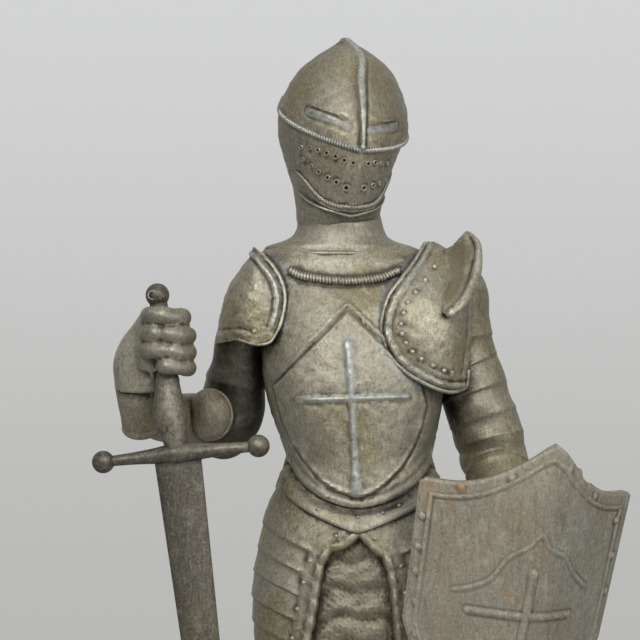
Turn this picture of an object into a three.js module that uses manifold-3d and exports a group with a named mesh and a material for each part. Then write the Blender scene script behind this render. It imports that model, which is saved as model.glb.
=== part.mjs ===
// Medieval knight statuette in cast white metal, standing on a low plinth.
// Millimetres, +Z up, the knight faces -Y, the sword hand is at -X and the shield at +X.
// The origin is the middle of the plinth's underside.

import * as THREE from 'three';
import { mergeVertices } from 'three/addons/utils/BufferGeometryUtils.js';
import Module from 'manifold-3d';

const wasm = await Module();
wasm.setup();

// Driving sizes

const figureHeight = 383; // soles to the peak of the helmet
const plinthWidth = 132;
const plinthDepth = 104;
const plinthHeight = 20;
const plinthFootHeight = 7; // plain band at the bottom of the plinth
const plinthMouldingInset = 5; // how far the top stands in from the foot band
const plinthCornerRadius = 16;
const shieldThickness = 2.8;
const castingGap = 0.3; // between two castings that touch

const bladeRootWidth = 15.4; // under the guard
const bladeTipWidth = 3; // at the ground
const bladeThickness = 4.2;
const pommelRadius = 3.9;
const quillonBallRadius = 3.7;
const gripRadius = 3.6; // inside the fist

// The figure is drawn for a height of 383, and its pose, proportions and carving are shares of
// the height: every length in the tables below is multiplied by this one share.
const drawnHeight = 383;
const share = figureHeight / drawnHeight;
const soleHeight = plinthHeight + castingGap;

const roundSides = 10; // points around a limb
const broadSides = 16; // points around the trunk
const fineSides = 5; // points around a finger or bar
const rimSides = 4; // points around a rolled rim
const cutReach = 60; // a cutting wall runs this far in front of and behind the middle plane

// Points and rings

function point(x, y, z) {
  return new THREE.Vector3(x * share, y * share, z * share + soleHeight);
}

function direction(x, y, z) {
  return new THREE.Vector3(x, y, z).normalize();
}

const up = direction(0, 0, 1);
const forward = direction(0, -1, 0);
const toShieldSide = direction(1, 0, 0);

// A point of a superellipse with its own depth in front and behind; power 2 is an ellipse.
function superPoint(angle, halfWidth, front, back, power) {
  const side = Math.cos(angle);
  const fore = Math.sin(angle);
  const across = Math.sign(side) * Math.abs(side) ** (2 / power) * halfWidth;
  const depth = Math.sign(fore) * Math.abs(fore) ** (2 / power) * (fore > 0 ? front : back);
  return { across, depth };
}

// One ring around a centre; the right and front axes say where the width and the depth go.
function ringAt({ centre, right, front, halfWidth, fore, aft, power = 2, sides = roundSides }) {
  const ring = [];
  for (let i = 0; i < sides; i++) {
    const p = superPoint((i / sides) * 2 * Math.PI, halfWidth, fore, aft, power);
    const offset = right.clone().multiplyScalar(p.across * share);
    offset.add(front.clone().multiplyScalar(p.depth * share));
    ring.push(centre.clone().add(offset));
  }
  return ring;
}

function centroid(ring) {
  const sum = ring.reduce((total, p) => total.add(p), new THREE.Vector3());
  return sum.divideScalar(ring.length);
}

// Solids

function signedVolume(positions, index) {
  const a = new THREE.Vector3();
  const b = new THREE.Vector3();
  const c = new THREE.Vector3();
  let volume = 0;
  for (let i = 0; i < index.length; i += 3) {
    a.fromArray(positions, 3 * index[i]);
    b.fromArray(positions, 3 * index[i + 1]);
    c.fromArray(positions, 3 * index[i + 2]);
    volume += a.dot(b.clone().cross(c)) / 6;
  }
  return volume;
}

// A closed skin over rings with equal counts of points: capped at both ends, or joined in a loop.
function skin(rings, loop = false) {
  const sides = rings[0].length;
  const points = rings.flat();
  const index = [];
  const spans = loop ? rings.length : rings.length - 1;
  for (let r = 0; r < spans; r++) {
    const here = r * sides;
    const next = ((r + 1) % rings.length) * sides;
    for (let i = 0; i < sides; i++) {
      const j = (i + 1) % sides;
      index.push(here + i, here + j, next + j, here + i, next + j, next + i);
    }
  }
  if (!loop) {
    const last = (rings.length - 1) * sides;
    const startCentre = points.push(centroid(rings[0])) - 1;
    const endCentre = points.push(centroid(rings.at(-1))) - 1;
    for (let i = 0; i < sides; i++) {
      const j = (i + 1) % sides;
      index.push(startCentre, j, i, endCentre, last + i, last + j);
    }
  }
  const positions = points.flatMap((p) => p.toArray());
  if (signedVolume(positions, index) < 0) index.reverse();
  const geometry = new THREE.BufferGeometry();
  geometry.setAttribute('position', new THREE.Float32BufferAttribute(positions, 3));
  geometry.setIndex(index);
  return solidOf(geometry);
}

function solidOf(geometry) {
  const bare = geometry.clone();
  bare.deleteAttribute('normal');
  bare.deleteAttribute('uv');
  const merged = mergeVertices(bare, 1e-4);
  return new wasm.Manifold(new wasm.Mesh({
    numProp: 3,
    vertProperties: new Float32Array(merged.attributes.position.array),
    triVerts: new Uint32Array(merged.index.array),
  }));
}

function union(solids) {
  return solids.reduce((whole, solid) => whole.add(solid));
}

function geometryOf(solid) {
  const mesh = solid.getMesh();
  const geometry = new THREE.BufferGeometry();
  geometry.setAttribute('position', new THREE.BufferAttribute(mesh.vertProperties, mesh.numProp));
  geometry.setIndex(new THREE.BufferAttribute(mesh.triVerts, 1));
  geometry.computeVertexNormals();
  return geometry;
}

// An ellipsoid about a centre, with its half sizes along X, Y and Z, turned about Z.
function ball(centre, halfX, halfY = halfX, halfZ = halfX, turn = 0, around = 10, rows = 7) {
  const geometry = new THREE.SphereGeometry(1, around, rows);
  geometry.rotateX(Math.PI / 2);
  geometry.scale(halfX * share, halfY * share, halfZ * share);
  geometry.rotateZ(turn);
  geometry.translate(centre.x, centre.y, centre.z);
  return solidOf(geometry);
}

// A limb or bar over stations { at, wide, fore, aft, power }, all read along its own axis.
function limb(stations, reference = forward, sides = roundSides) {
  const centres = stations.map((station) => point(...station.at));
  const rings = stations.map((station, i) => {
    const ahead = centres[Math.min(i + 1, centres.length - 1)];
    const behind = centres[Math.max(i - 1, 0)];
    const axis = ahead.clone().sub(behind).normalize();
    const right = axis.clone().cross(reference).normalize();
    const front = right.clone().cross(axis).normalize();
    return ringAt({
      centre: centres[i],
      right,
      front,
      halfWidth: station.wide,
      fore: station.fore ?? station.wide,
      aft: station.aft ?? station.fore ?? station.wide,
      power: station.power,
      sides,
    });
  });
  return skin(rings);
}

// A round bar through points that are already placed; a loop has no ends.
function bar(places, radius, sides = fineSides, loop = false) {
  const count = places.length;
  let right = null;
  const rings = places.map((place, i) => {
    const ahead = loop ? places[(i + 1) % count] : places[Math.min(i + 1, count - 1)];
    const behind = loop ? places[(i + count - 1) % count] : places[Math.max(i - 1, 0)];
    const axis = ahead.clone().sub(behind).normalize();
    const seed = right ?? (Math.abs(axis.z) < 0.8 ? up : forward);
    right = seed.clone().sub(axis.clone().multiplyScalar(seed.dot(axis))).normalize();
    const front = axis.clone().cross(right).normalize();
    return ringAt({ centre: place, right, front, halfWidth: radius, fore: radius, aft: radius, sides });
  });
  return skin(rings, loop);
}

function smoothPath(places, steps, loop = false) {
  const curve = new THREE.CatmullRomCurve3(places, loop, 'centripetal');
  const path = curve.getPoints(steps);
  return loop ? path.slice(0, -1) : path;
}

// A wall along Y over an outline given as [x, z] pairs, from the middle plane forwards.
function wallOver(outline, fromY, toY) {
  const shape = new THREE.Shape(outline.map(([x, z]) => {
    const p = point(x, 0, z);
    return new THREE.Vector2(p.x, p.z);
  }));
  const depth = (fromY - toY) * share;
  const geometry = new THREE.ExtrudeGeometry(shape, { depth, bevelEnabled: false, curveSegments: 4 });
  geometry.rotateX(Math.PI / 2);
  geometry.translate(0, fromY * share, 0);
  return solidOf(geometry);
}

function throughWall(outline) {
  return wallOver(outline, cutReach, -cutReach);
}

function frontWall(outline) {
  return wallOver(outline, 0, -cutReach);
}

// Trunk: stations are [height, middle, half width, front, back]

const trunkStations = [
  [224, 2.4, 28.6, 24.6, 18.6],
  [234, 2.8, 25.5, 25, 16.4],
  [243.5, 3, 23.7, 24.4, 15.4],
  [252, 2.4, 26.6, 25.2, 17.2],
  [261, 1.7, 29, 26, 19],
  [271, 1, 30.2, 26, 20.4],
  [283, 0.4, 30.2, 24.4, 20.8],
  [293, 0, 30.2, 21.2, 20.3],
  [301, -0.7, 30.6, 17.5, 18.8],
  [306, -1.2, 30.6, 14.8, 17],
  [310.5, -2, 28.4, 12.4, 14.6],
  [313.4, -3, 22, 11, 12],
];
const trunkPower = 2.3;

const fauldStations = [
  [216, 2.4, 32, 23.6, 22.4],
  [222, 2.5, 31, 23.6, 21.8],
  [230, 2.8, 28.4, 23.6, 20],
  [238, 3, 24.8, 23.2, 17.4],
  [243.5, 3, 23.2, 22, 15.6],
];

const mailStations = [
  [170, 2.6, 30, 20, 20],
  [186, 2.6, 32, 21, 21],
  [204, 2.6, 32.4, 22, 22],
  [222, 2.6, 29, 22, 20.5],
];
const mailFold = 0.7; // depth of the sagging folds in the mail
const mailFoldPitch = 9.4;
const mailPower = 2.2;

function stationAt(stations, height) {
  const last = stations.length - 1;
  let i = stations.findIndex((station) => station[0] >= height);
  if (i === -1) i = last;
  const upper = stations[Math.max(i, 1)];
  const lower = stations[Math.max(i, 1) - 1];
  const along = THREE.MathUtils.clamp((height - lower[0]) / (upper[0] - lower[0]), 0, 1);
  return lower.map((value, k) => value + (upper[k] - value) * along);
}

function roundBody(stations, power, grow = 0, sides = broadSides) {
  return skin(stations.map(([height, middle, halfWidth, front, back]) => ringAt({
    centre: point(middle, 0, height),
    right: toShieldSide,
    front: forward,
    halfWidth: halfWidth + grow,
    fore: front + grow,
    aft: back + grow,
    power,
    sides,
  })));
}

// The place on the front of a body at x and height, lifted off the surface.
function onFront(stations, power, x, height, lift = 0) {
  const [, middle, halfWidth, front] = stationAt(stations, height);
  const reach = Math.min(Math.abs((x - middle) / halfWidth), 0.999);
  const depth = front * (1 - reach ** power) ** (1 / power);
  return point(x, -depth - lift, height);
}

const breastLowerEdge = [
  [-34, 250], [-26, 246.5], [-20, 241], [-16.7, 236], [-11.7, 231.8], [-5, 228.6], [1.8, 227.2],
  [8.5, 228.2], [15, 230.6], [21.7, 235], [27.5, 241.5], [33, 248], [40, 250],
];
const shoulderTop = 330; // above the trunk
const fauldDrop = 8; // from the lower edge of the breastplate to that of the fauld
const fauldLift = 0.9;

const panelOutline = [
  [-1, 291.5], [15.2, 275.5], [23.2, 267.2], [24.6, 260.5], [23.2, 253.5], [20.6, 247], [16.6, 240.4],
  [11.6, 235.4], [6.6, 232], [2.2, 230.4], [-4.6, 232.8], [-9.8, 236.3], [-14.8, 242], [-19.2, 248.6],
  [-22.5, 255.4], [-25.2, 266.4],
];
const panelLift = 1.1;
const crossLift = 1.1;
const crossHead = [-0.7, 280.6];
const crossFoot = [1.7, 233.6];
const crossArms = [[-16.6, 262.4], [18, 263.6]];
const crossNarrow = 1.1; // half width in the middle of a bar
const crossEnd = 1.9; // half width at a bar's end

// A bar of a cross that swells towards both ends, as an outline.
function flaredBar([x0, z0], [x1, z1], narrow, wide) {
  const along = new THREE.Vector2(x1 - x0, z1 - z0);
  const across = new THREE.Vector2(-along.y, along.x).normalize();
  const shares = [0, 0.06, 0.3, 0.7, 0.94, 1];
  const half = (t) => narrow + (wide - narrow) * Math.abs(2 * t - 1) ** 3;
  const ends = (t) => (t === 0 || t === 1 ? half(t) * 0.6 : half(t));
  const edge = (side) => shares.map((t) => [
    x0 + along.x * t + across.x * side * ends(t),
    z0 + along.y * t + across.y * side * ends(t),
  ]);
  return [...edge(-1), ...edge(1).reverse()];
}

function raisedOn(stations, power, outline, lift) {
  return roundBody(stations, power, lift).intersect(frontWall(outline));
}

function breastplate() {
  const above = [...breastLowerEdge, [40, shoulderTop], [-34, shoulderTop]];
  const cut = roundBody(trunkStations, trunkPower).intersect(throughWall(above));
  const panel = raisedOn(trunkStations, trunkPower, panelOutline, panelLift);
  const upright = flaredBar(crossHead, crossFoot, crossNarrow, crossEnd);
  const beam = flaredBar(...crossArms, crossNarrow, crossEnd);
  const lowerRim = smoothPath(
    breastLowerEdge.slice(2, -2).map(([x, z]) => onFront(trunkStations, trunkPower, x, z)), 9);
  return union([
    cut,
    panel,
    raisedOn(trunkStations, trunkPower, upright, panelLift + crossLift),
    raisedOn(trunkStations, trunkPower, beam, panelLift + crossLift),
    bar(lowerRim, 1, rimSides),
  ]);
}

const neckRollRadius = 1.4;

function neckRoll() {
  const path = [[-21, 307], [-16.7, 303.6], [-10, 302], [-1.7, 301], [5, 301.5], [11.7, 303], [17, 306]];
  const places = path.map(([x, z]) => onFront(trunkStations, trunkPower, x, z, 0.3));
  return bar(smoothPath(places, 12), neckRollRadius);
}

// Skirt of plates: fauld, mail and the two tassets

const tassetStations = [
  [236, 2.6, 25.6, 22, 18],
  [226, 2.6, 30, 24, 21.4],
  [216, 2.6, 32.4, 25.2, 22.8],
  [208, 2.6, 34, 25.8, 23.6],
  [196, 2.6, 35, 26, 24],
  [182, 2.6, 34.2, 25.6, 23.8],
  [163, 2.6, 32, 25, 23],
];
const tassetPower = 2.3;
const tassetFirstEdge = 211;
const tassetLamePitch = 8.8;
const tassetLameCount = 6;
const tassetStep = 1.1; // how far a lame's lower edge stands proud
const tassetSlant = 6; // a lame hangs lower towards the middle by this much
const archFoot = tassetFirstEdge - (tassetLameCount + 0.25) * tassetLamePitch - tassetSlant;
const archOutline = [
  [-18, archFoot], [-15, 181], [-12.3, 195.3], [-11, 203.7], [-9.3, 210.3], [-6.7, 213.7], [-1.7, 215.3],
  [2.3, 218.7], [8.2, 213.6], [11.4, 211.3], [12.9, 207], [14, 202], [14.8, 195.3], [16, 182], [19, archFoot],
];
const archBorderRadius = 1.3;

function fauld() {
  const edge = breastLowerEdge.map(([x, z]) => [x, z - fauldDrop]);
  const above = [...edge, [40, 260], [-34, 260]];
  return roundBody(fauldStations, trunkPower, fauldLift).intersect(throughWall(above));
}

function mailSkirt() {
  const rings = [];
  const [bottom, top] = [mailStations[0][0], mailStations.at(-1)[0]];
  const rows = 10;
  for (let r = 0; r <= rows; r++) {
    const height = bottom + ((top - bottom) * r) / rows;
    const fold = mailFold * Math.sin((2 * Math.PI * height) / mailFoldPitch);
    const [, middle, halfWidth, front, back] = stationAt(mailStations, height);
    rings.push([height, middle, halfWidth, front + fold, back]);
  }
  return roundBody(rings, mailPower, 0, 12);
}

function tassets() {
  const falling = [...tassetStations].reverse();
  const rings = [];
  const addRing = (height, grow) => {
    const [, middle, halfWidth, front, back] = stationAt(falling, height);
    const ring = ringAt({
      centre: point(middle, 0, height),
      right: toShieldSide,
      front: forward,
      halfWidth: halfWidth + grow,
      fore: front + grow,
      aft: back + grow,
      power: tassetPower,
      sides: broadSides,
    });
    for (const p of ring) {
      const outward = Math.abs(p.x / share - middle) / halfWidth;
      p.z -= tassetSlant * share * (1 - Math.min(outward, 1));
    }
    rings.push(ring);
  };
  addRing(tassetStations[0][0], 0);
  addRing(tassetStations[1][0], 0);
  for (let lame = 0; lame < tassetLameCount; lame++) {
    const edge = tassetFirstEdge - lame * tassetLamePitch;
    addRing(edge + 0.6, tassetStep);
    addRing(edge, 0);
  }
  const bottom = tassetFirstEdge - (tassetLameCount - 0.4) * tassetLamePitch;
  addRing(bottom + 0.6, tassetStep);
  addRing(bottom, -2);
  const arch = frontWall(archOutline);
  return skin(rings).subtract(arch);
}

function archBorder() {
  const falling = [...tassetStations].reverse();
  const path = archOutline.slice(1, -1).map(([x, z]) => onFront(falling, tassetPower, x, z + 1, 0.2));
  return bar(smoothPath(path, 14), archBorderRadius, rimSides);
}

// Helmet: turned towards the shield side; stations are [height, half width, front, back, front power]

const helmetTurn = THREE.MathUtils.degToRad(15);
const helmetFoot = { x: -4, y: 1, z: 323.7 };
const helmetLean = 0.045; // sideways shift for each unit of height
const helmetStations = [
  [321, 13.5, 16.4, 14.6, 2],
  [328.7, 14.4, 20, 16.8, 1.9],
  [333.7, 15.6, 22.4, 19, 1.8],
  [338.7, 17.3, 24.4, 21.2, 1.8],
  [343.7, 19.1, 25.6, 23.2, 1.85],
  [349.7, 20.9, 26, 24.8, 1.95],
  [357.7, 21, 24.6, 25.2, 2],
  [363.3, 19.5, 22.4, 23.8, 2],
  [368.7, 17, 19.4, 21, 2],
  [372.7, 14, 16, 17.4, 2],
  [376.6, 9.2, 11.4, 12, 2],
  [379.2, 5.2, 7, 7.4, 2],
  [381, 2, 3.4, 3.4, 2],
];
const combHalfWidth = [1.5, 0.8]; // at the peak and at the brow
const combLift = 1.7;
const combFoot = 344.5; // the keel starts above this height
const backRidgeFoot = 340;
const backRidgeShare = 0.7; // of the keel's own lift
const peakHeight = 382.7;

function helmetAxis(height) {
  return [helmetFoot.x + helmetLean * (height - helmetFoot.z), helmetFoot.y];
}

// A place on the helmet at a height and an angle from its own front, positive to the shield side.
function onHelmet(height, angle, lift = 0) {
  const [, halfWidth, front, back, power] = stationAt(helmetStations, height);
  const [cx, cy] = helmetAxis(height);
  const side = Math.abs(Math.sin(angle));
  const fore = Math.abs(Math.cos(angle));
  const depth = Math.cos(angle) > 0 ? front : back;
  const curve = Math.cos(angle) > 0 ? power : 2;
  const radius = ((side / halfWidth) ** curve + (fore / depth) ** curve) ** (-1 / curve) + lift;
  const turned = angle + helmetTurn;
  return point(cx + radius * Math.sin(turned), cy - radius * Math.cos(turned), height);
}

// Heights of the roped edge between visor and bevor, and of the two lines under the chin.
// Each runs level again past its reach round the side.
const visorTip = 2.9; // the visor hangs lower on the shield side
const visorReach = 2.1;
const bevorReach = 1.15;
const chinReach = 1.75;

function visorEdge(angle) {
  const round = Math.min(Math.abs(angle), visorReach);
  return 343.5 + 13.5 * (round / 1.83) ** 1.25 - visorTip * Math.sin(angle);
}

function bevorEdge(angle) {
  return 325.5 + 11 * (Math.min(Math.abs(angle), bevorReach) / 1.1) ** 2.2;
}

function chinEdge(angle) {
  return 322.3 + 11.4 * (Math.min(Math.abs(angle), chinReach) / 1.75) ** 1.3;
}

// Three rows that raise one line of the shell; the line fades out at its reach.
function raisedRows(edge, reach, lift, halfWidth) {
  const fade = (angle) => THREE.MathUtils.clamp((reach + 0.3 - Math.abs(angle)) / 0.3, 0, 1);
  return [-halfWidth, 0, halfWidth].map((offset) => ({
    height: (angle) => edge(angle) + offset,
    lift: (angle) => (offset === 0 ? lift * fade(angle) : 0),
  }));
}

function plainRow(height) {
  return { height: typeof height === 'function' ? height : () => height, lift: () => 0 };
}

// The shell has a keel: its columns close up at the front and the back, where one stands proud.
function helmetShell() {
  const brow = 363.3;
  const rows = [
    plainRow(321),
    ...raisedRows(chinEdge, chinReach, 1.1, 1.1),
    ...raisedRows(bevorEdge, bevorReach, 1, 0.9),
    plainRow((angle) => (bevorEdge(angle) + visorEdge(angle)) / 2),
    ...raisedRows(visorEdge, visorReach, 1.2, 1),
    plainRow((angle) => visorEdge(angle) * 0.52 + brow * 0.48),
    ...helmetStations.filter(([height]) => height >= brow).map(([height]) => plainRow(height)),
  ];
  const perSide = 7;
  const rings = rows.map(({ height, lift }) => {
    const top = height(0);
    const radius = stationAt(helmetStations, top)[1];
    const keelHalf = THREE.MathUtils.mapLinear(top, 343, 381, combHalfWidth[1], combHalfWidth[0]);
    const keelAngle = Math.min(Math.max(keelHalf, combHalfWidth[1]) / radius, 0.5);
    const angles = [0];
    for (let i = 0; i <= perSide; i++) {
      angles.push(THREE.MathUtils.lerp(keelAngle, Math.PI - keelAngle, i / perSide));
    }
    angles.push(Math.PI);
    for (let i = perSide; i >= 0; i--) {
      angles.push(-THREE.MathUtils.lerp(keelAngle, Math.PI - keelAngle, i / perSide));
    }
    return angles.map((angle) => {
      const place = height(angle);
      const keel = angle === 0 && place > combFoot ? combLift : 0;
      const ridge = angle === Math.PI && place > backRidgeFoot ? combLift * backRidgeShare : 0;
      return onHelmet(place, angle, Math.max(lift(angle), keel, ridge));
    });
  });
  const peak = point(...helmetAxis(peakHeight), peakHeight);
  rings.push(rings.at(-1).map((p) => p.clone().lerp(peak, 0.9).setZ(peak.z)));
  return skin(rings);
}

// The sight: a raised bar at each side of the keel.
const sightRadius = 1;

function helmetSight(side) {
  const places = [];
  for (let i = 0; i <= 3; i++) {
    const angle = side * THREE.MathUtils.lerp(0.18, 0.8, i / 3);
    const height = 351 + 6 * (Math.abs(angle) - 0.18) - visorTip * Math.sin(angle);
    places.push(onHelmet(height, angle, 0.1));
  }
  return bar(places, sightRadius, rimSides);
}

function helmet() {
  return union([helmetShell(), helmetSight(-1), helmetSight(1)]);
}

// Neck and gorget: stations are [height, half width, front, back]

const neckStations = [
  [302, 20, 15, 14],
  [309, 18.6, 14.6, 14],
  [312.4, 16.4, 14.6, 13.4],
  [314.4, 15.2, 14, 13.2],
  [318, 13.8, 13, 12.4],
  [326, 13, 12.4, 12],
];

const neckAxis = [-4, 1];
const neckSides = 14;
const gorgetRoll = { height: 312.2, halfWidth: 17.2, depth: 15.6, radius: 1.5, dip: 1 };

function neck() {
  return skin(neckStations.map(([height, halfWidth, front, back]) => ringAt({
    centre: point(...neckAxis, height),
    right: toShieldSide,
    front: forward,
    halfWidth,
    fore: front,
    aft: back,
    sides: neckSides,
  })));
}

// The rolled ring at the foot of the gorget, which dips at the front.
function gorgetRing() {
  const { height, halfWidth, depth, radius, dip } = gorgetRoll;
  const [x, y] = neckAxis;
  const places = [];
  for (let i = 0; i < neckSides; i++) {
    const angle = (i / neckSides) * 2 * Math.PI;
    const drop = dip * Math.max(0, Math.sin(angle));
    places.push(point(x + halfWidth * Math.cos(angle), y - depth * Math.sin(angle), height - drop));
  }
  return bar(places, radius, rimSides, true);
}

// Pauldrons: a dome over the shoulder, kept inside an outline, with a rolled rim

function dome(middle, depthMiddle, stations, power = 2.1) {
  return skin(stations.map(([height, outward, inward, front, back]) => {
    const ring = [];
    for (let i = 0; i < 14; i++) {
      const angle = (i / 14) * 2 * Math.PI;
      const reach = Math.cos(angle) > 0 ? inward : outward;
      const p = superPoint(angle, reach, front, back, power);
      ring.push(point(middle + p.across * (middle < 0 ? 1 : -1), depthMiddle - p.depth, height));
    }
    return ring;
  }));
}

// Where the dome's front lies at x and height, lifted.
function onDome(middle, depthMiddle, stations, x, height, lift, power = 2.1) {
  const [, outward, inward, front] = stationAt(stations, height);
  const towardsBody = middle < 0 ? x > middle : x < middle;
  const reach = Math.min(Math.abs(x - middle) / (towardsBody ? inward : outward), 0.995);
  return point(x, depthMiddle - front * (1 - reach ** power) ** (1 / power) - lift, height);
}

const swordShoulder = {
  middle: -30,
  depthMiddle: 1,
  stations: [
    [276, 15.4, 16, 19.4, 19],
    [284, 14.4, 16, 20.2, 20],
    [290, 13.3, 16, 20.4, 20.4],
    [296, 11.8, 16, 20, 20.4],
    [301, 9.6, 15.5, 18.8, 19.6],
    [306, 6.2, 14, 16.4, 17.6],
    [310, 3.3, 11, 13, 14.4],
    [312.6, 2.4, 8, 9.4, 10.6],
  ],
  outline: [
    [-50, 279.6], [-36.6, 282], [-29.6, 280.4], [-26.4, 281.2], [-24.2, 284.4], [-22.2, 290], [-21.6, 296],
    [-22.6, 301], [-25.2, 305.6], [-29.4, 310.4], [-32.6, 313.6], [-34, 318], [-50, 318],
  ],
};

const shieldShoulder = {
  middle: 24,
  depthMiddle: 0,
  stations: [
    [262, 17, 24, 21.4, 15],
    [272, 17.4, 24, 25.2, 16.4],
    [282, 17.8, 24, 27.2, 17.6],
    [290, 18, 24, 26.8, 18],
    [297, 17.6, 24, 24.2, 18],
    [303, 15.4, 22, 20.2, 17],
    [308, 12.4, 18, 15.6, 15],
    [312, 8.6, 10, 10.6, 11],
    [314.4, 4.4, 5, 6.4, 7],
  ],
  outline: [
    [25.4, 318], [24.8, 313.6], [21.4, 308], [16.8, 302], [12.6, 296.3], [10.6, 290.3],
    [10, 285.3], [11.2, 280.3], [14, 275.3], [18.3, 271.3], [23.3, 268.3], [28.3, 266], [33.3, 265], [37.4, 266.2],
    [38.7, 272], [40, 282], [40.6, 292], [40.4, 299], [42, 318],
  ],
};
const pauldronRim = 1.3;

function pauldron({ middle, depthMiddle, stations, outline }, rimFrom, rimTo) {
  const plate = dome(middle, depthMiddle, stations).intersect(throughWall(outline));
  const path = outline.slice(rimFrom, rimTo)
    .map(([x, z]) => onDome(middle, depthMiddle, stations, x, z, 0));
  return union([plate, bar(smoothPath(path, 12), pauldronRim, rimSides)]);
}

// The upstanding wing that guards the neck on the shield side.
const wingRoot = [
  [30.7, -9, 311.5], [31.6, -12.4, 309], [32.2, -16, 306],
  [31.2, -20.4, 300.5], [29.6, -24.4, 295.2], [28.9, -26, 291.6],
];
const wingEdge = [
  [38.7, -9, 317.7], [41.8, -12.4, 313.6], [41.9, -16, 308.4],
  [39.8, -21.4, 300], [36, -26, 293.8], [31.2, -28.8, 289.6],
];
const wingThickness = 2.4;
const wingRootSink = 3; // how deep its root runs into the dome
const wingSwell = 1.35; // its rolled edge is thicker by this

function wing() {
  const rows = 7;
  const root = smoothPath(wingRoot.map((p) => point(...p)), rows);
  const edge = smoothPath(wingEdge.map((p) => point(...p)), rows);
  const half = (wingThickness * share) / 2;
  const rings = root.map((foot, i) => {
    const across = edge[i].clone().sub(foot).normalize();
    const next = root[Math.min(i + 1, rows)].clone().sub(root[Math.max(i - 1, 0)]).normalize();
    const normal = across.clone().cross(next).normalize();
    const sunk = foot.clone().addScaledVector(across, -wingRootSink * share);
    const swell = half * wingSwell;
    return [
      sunk.clone().addScaledVector(normal, -half),
      edge[i].clone().addScaledVector(normal, -swell),
      edge[i].clone().addScaledVector(normal, swell),
      sunk.clone().addScaledVector(normal, half),
    ];
  });
  return skin(rings);
}

// Arms: lames are stations that swell to an edge and step back in

const lameUndercut = 0.07; // share of a lame's length over which the next one steps in

function lamedStations(stations, step) {
  const out = [];
  stations.forEach((station, i) => {
    if (i === 0) {
      out.push(station);
      return;
    }
    const before = stations[i - 1];
    const mix = (t) => station.at.map((value, k) => before.at[k] + (value - before.at[k]) * t);
    const grown = (t, extra) => ({
      at: mix(t),
      wide: station.wide + extra,
      fore: (station.fore ?? station.wide) + extra,
      aft: (station.aft ?? station.wide) + extra,
    });
    out.push(grown(lameUndercut, 0), grown(1, step));
  });
  return out;
}

const swordArm = {
  upper: [
    { at: [-31, 1, 294], wide: 9, fore: 11 },
    { at: [-36, 5, 281], wide: 9, fore: 10.5 },
    { at: [-36.8, 7.6, 268.6], wide: 9.6, fore: 10 },
    { at: [-38.6, 11, 254], wide: 10.4, fore: 9.6 },
  ],
  elbow: [-42.6, 12, 251.4],
  fore: [
    { at: [-43, 11, 252.4], wide: 10.4 },
    { at: [-53, 3.6, 254], wide: 11 },
    { at: [-61.5, -4, 256.6], wide: 8.8 },
    { at: [-64.4, -8, 258], wide: 8.8 },
    { at: [-67.6, -13.6, 260.4], wide: 8.9 },
    { at: [-69.2, -18.4, 264], wide: 8.7 },
    { at: [-69.6, -21.6, 268], wide: 8 },
  ],
};

const shieldArm = {
  upper: [
    { at: [32, 3, 305], wide: 8, fore: 9 },
    { at: [33.4, 3, 300], wide: 11.4, fore: 12 },
    { at: [34.4, 3, 287.6], wide: 12.2, fore: 13.4 },
    { at: [36.6, 4, 277], wide: 12, fore: 12.8 },
    { at: [40, 5, 269], wide: 11.6, fore: 12 },
    { at: [43.2, 6, 259.6], wide: 11.2, fore: 12 },
    { at: [47, 7, 249], wide: 11.4, fore: 11.6 },
  ],
  elbow: [48, 7, 242],
  fore: [
    { at: [48.6, 8, 244], wide: 10.6 },
    { at: [50.4, 0, 234], wide: 10.2 },
    { at: [53, -8, 226], wide: 9 },
    { at: [55.6, -16, 219.6], wide: 7.4 },
  ],
};

const couterCentre = [-46.4, -4.6, 257];
const couterRadius = 7.9;

function swordArmSolid() {
  return union([
    limb(lamedStations(swordArm.upper, 0.6)),
    ball(point(...swordArm.elbow), 9.8, 10.2, 10),
    limb(swordArm.fore, up),
    ball(point(...couterCentre), couterRadius, 7.4, 8.8),
  ]);
}

function shieldArmSolid() {
  return union([
    limb(lamedStations(shieldArm.upper, 0.9)),
    ball(point(...shieldArm.elbow), 11.3, 11.6, 9.6),
    limb(shieldArm.fore, up),
    ball(point(57, -21, 215.6), 7.2, 8.4, 7, 0, 10, 6),
  ]);
}

// Gauntlet of the sword hand: cuff, back of the hand, four fingers of two joints and the thumb

const fingerHeights = [289.8, 284, 278.6, 273.6];
const fingerRadius = [3.1, 3.2, 3, 2.7];
const thumbRadius = 2.8;

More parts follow.
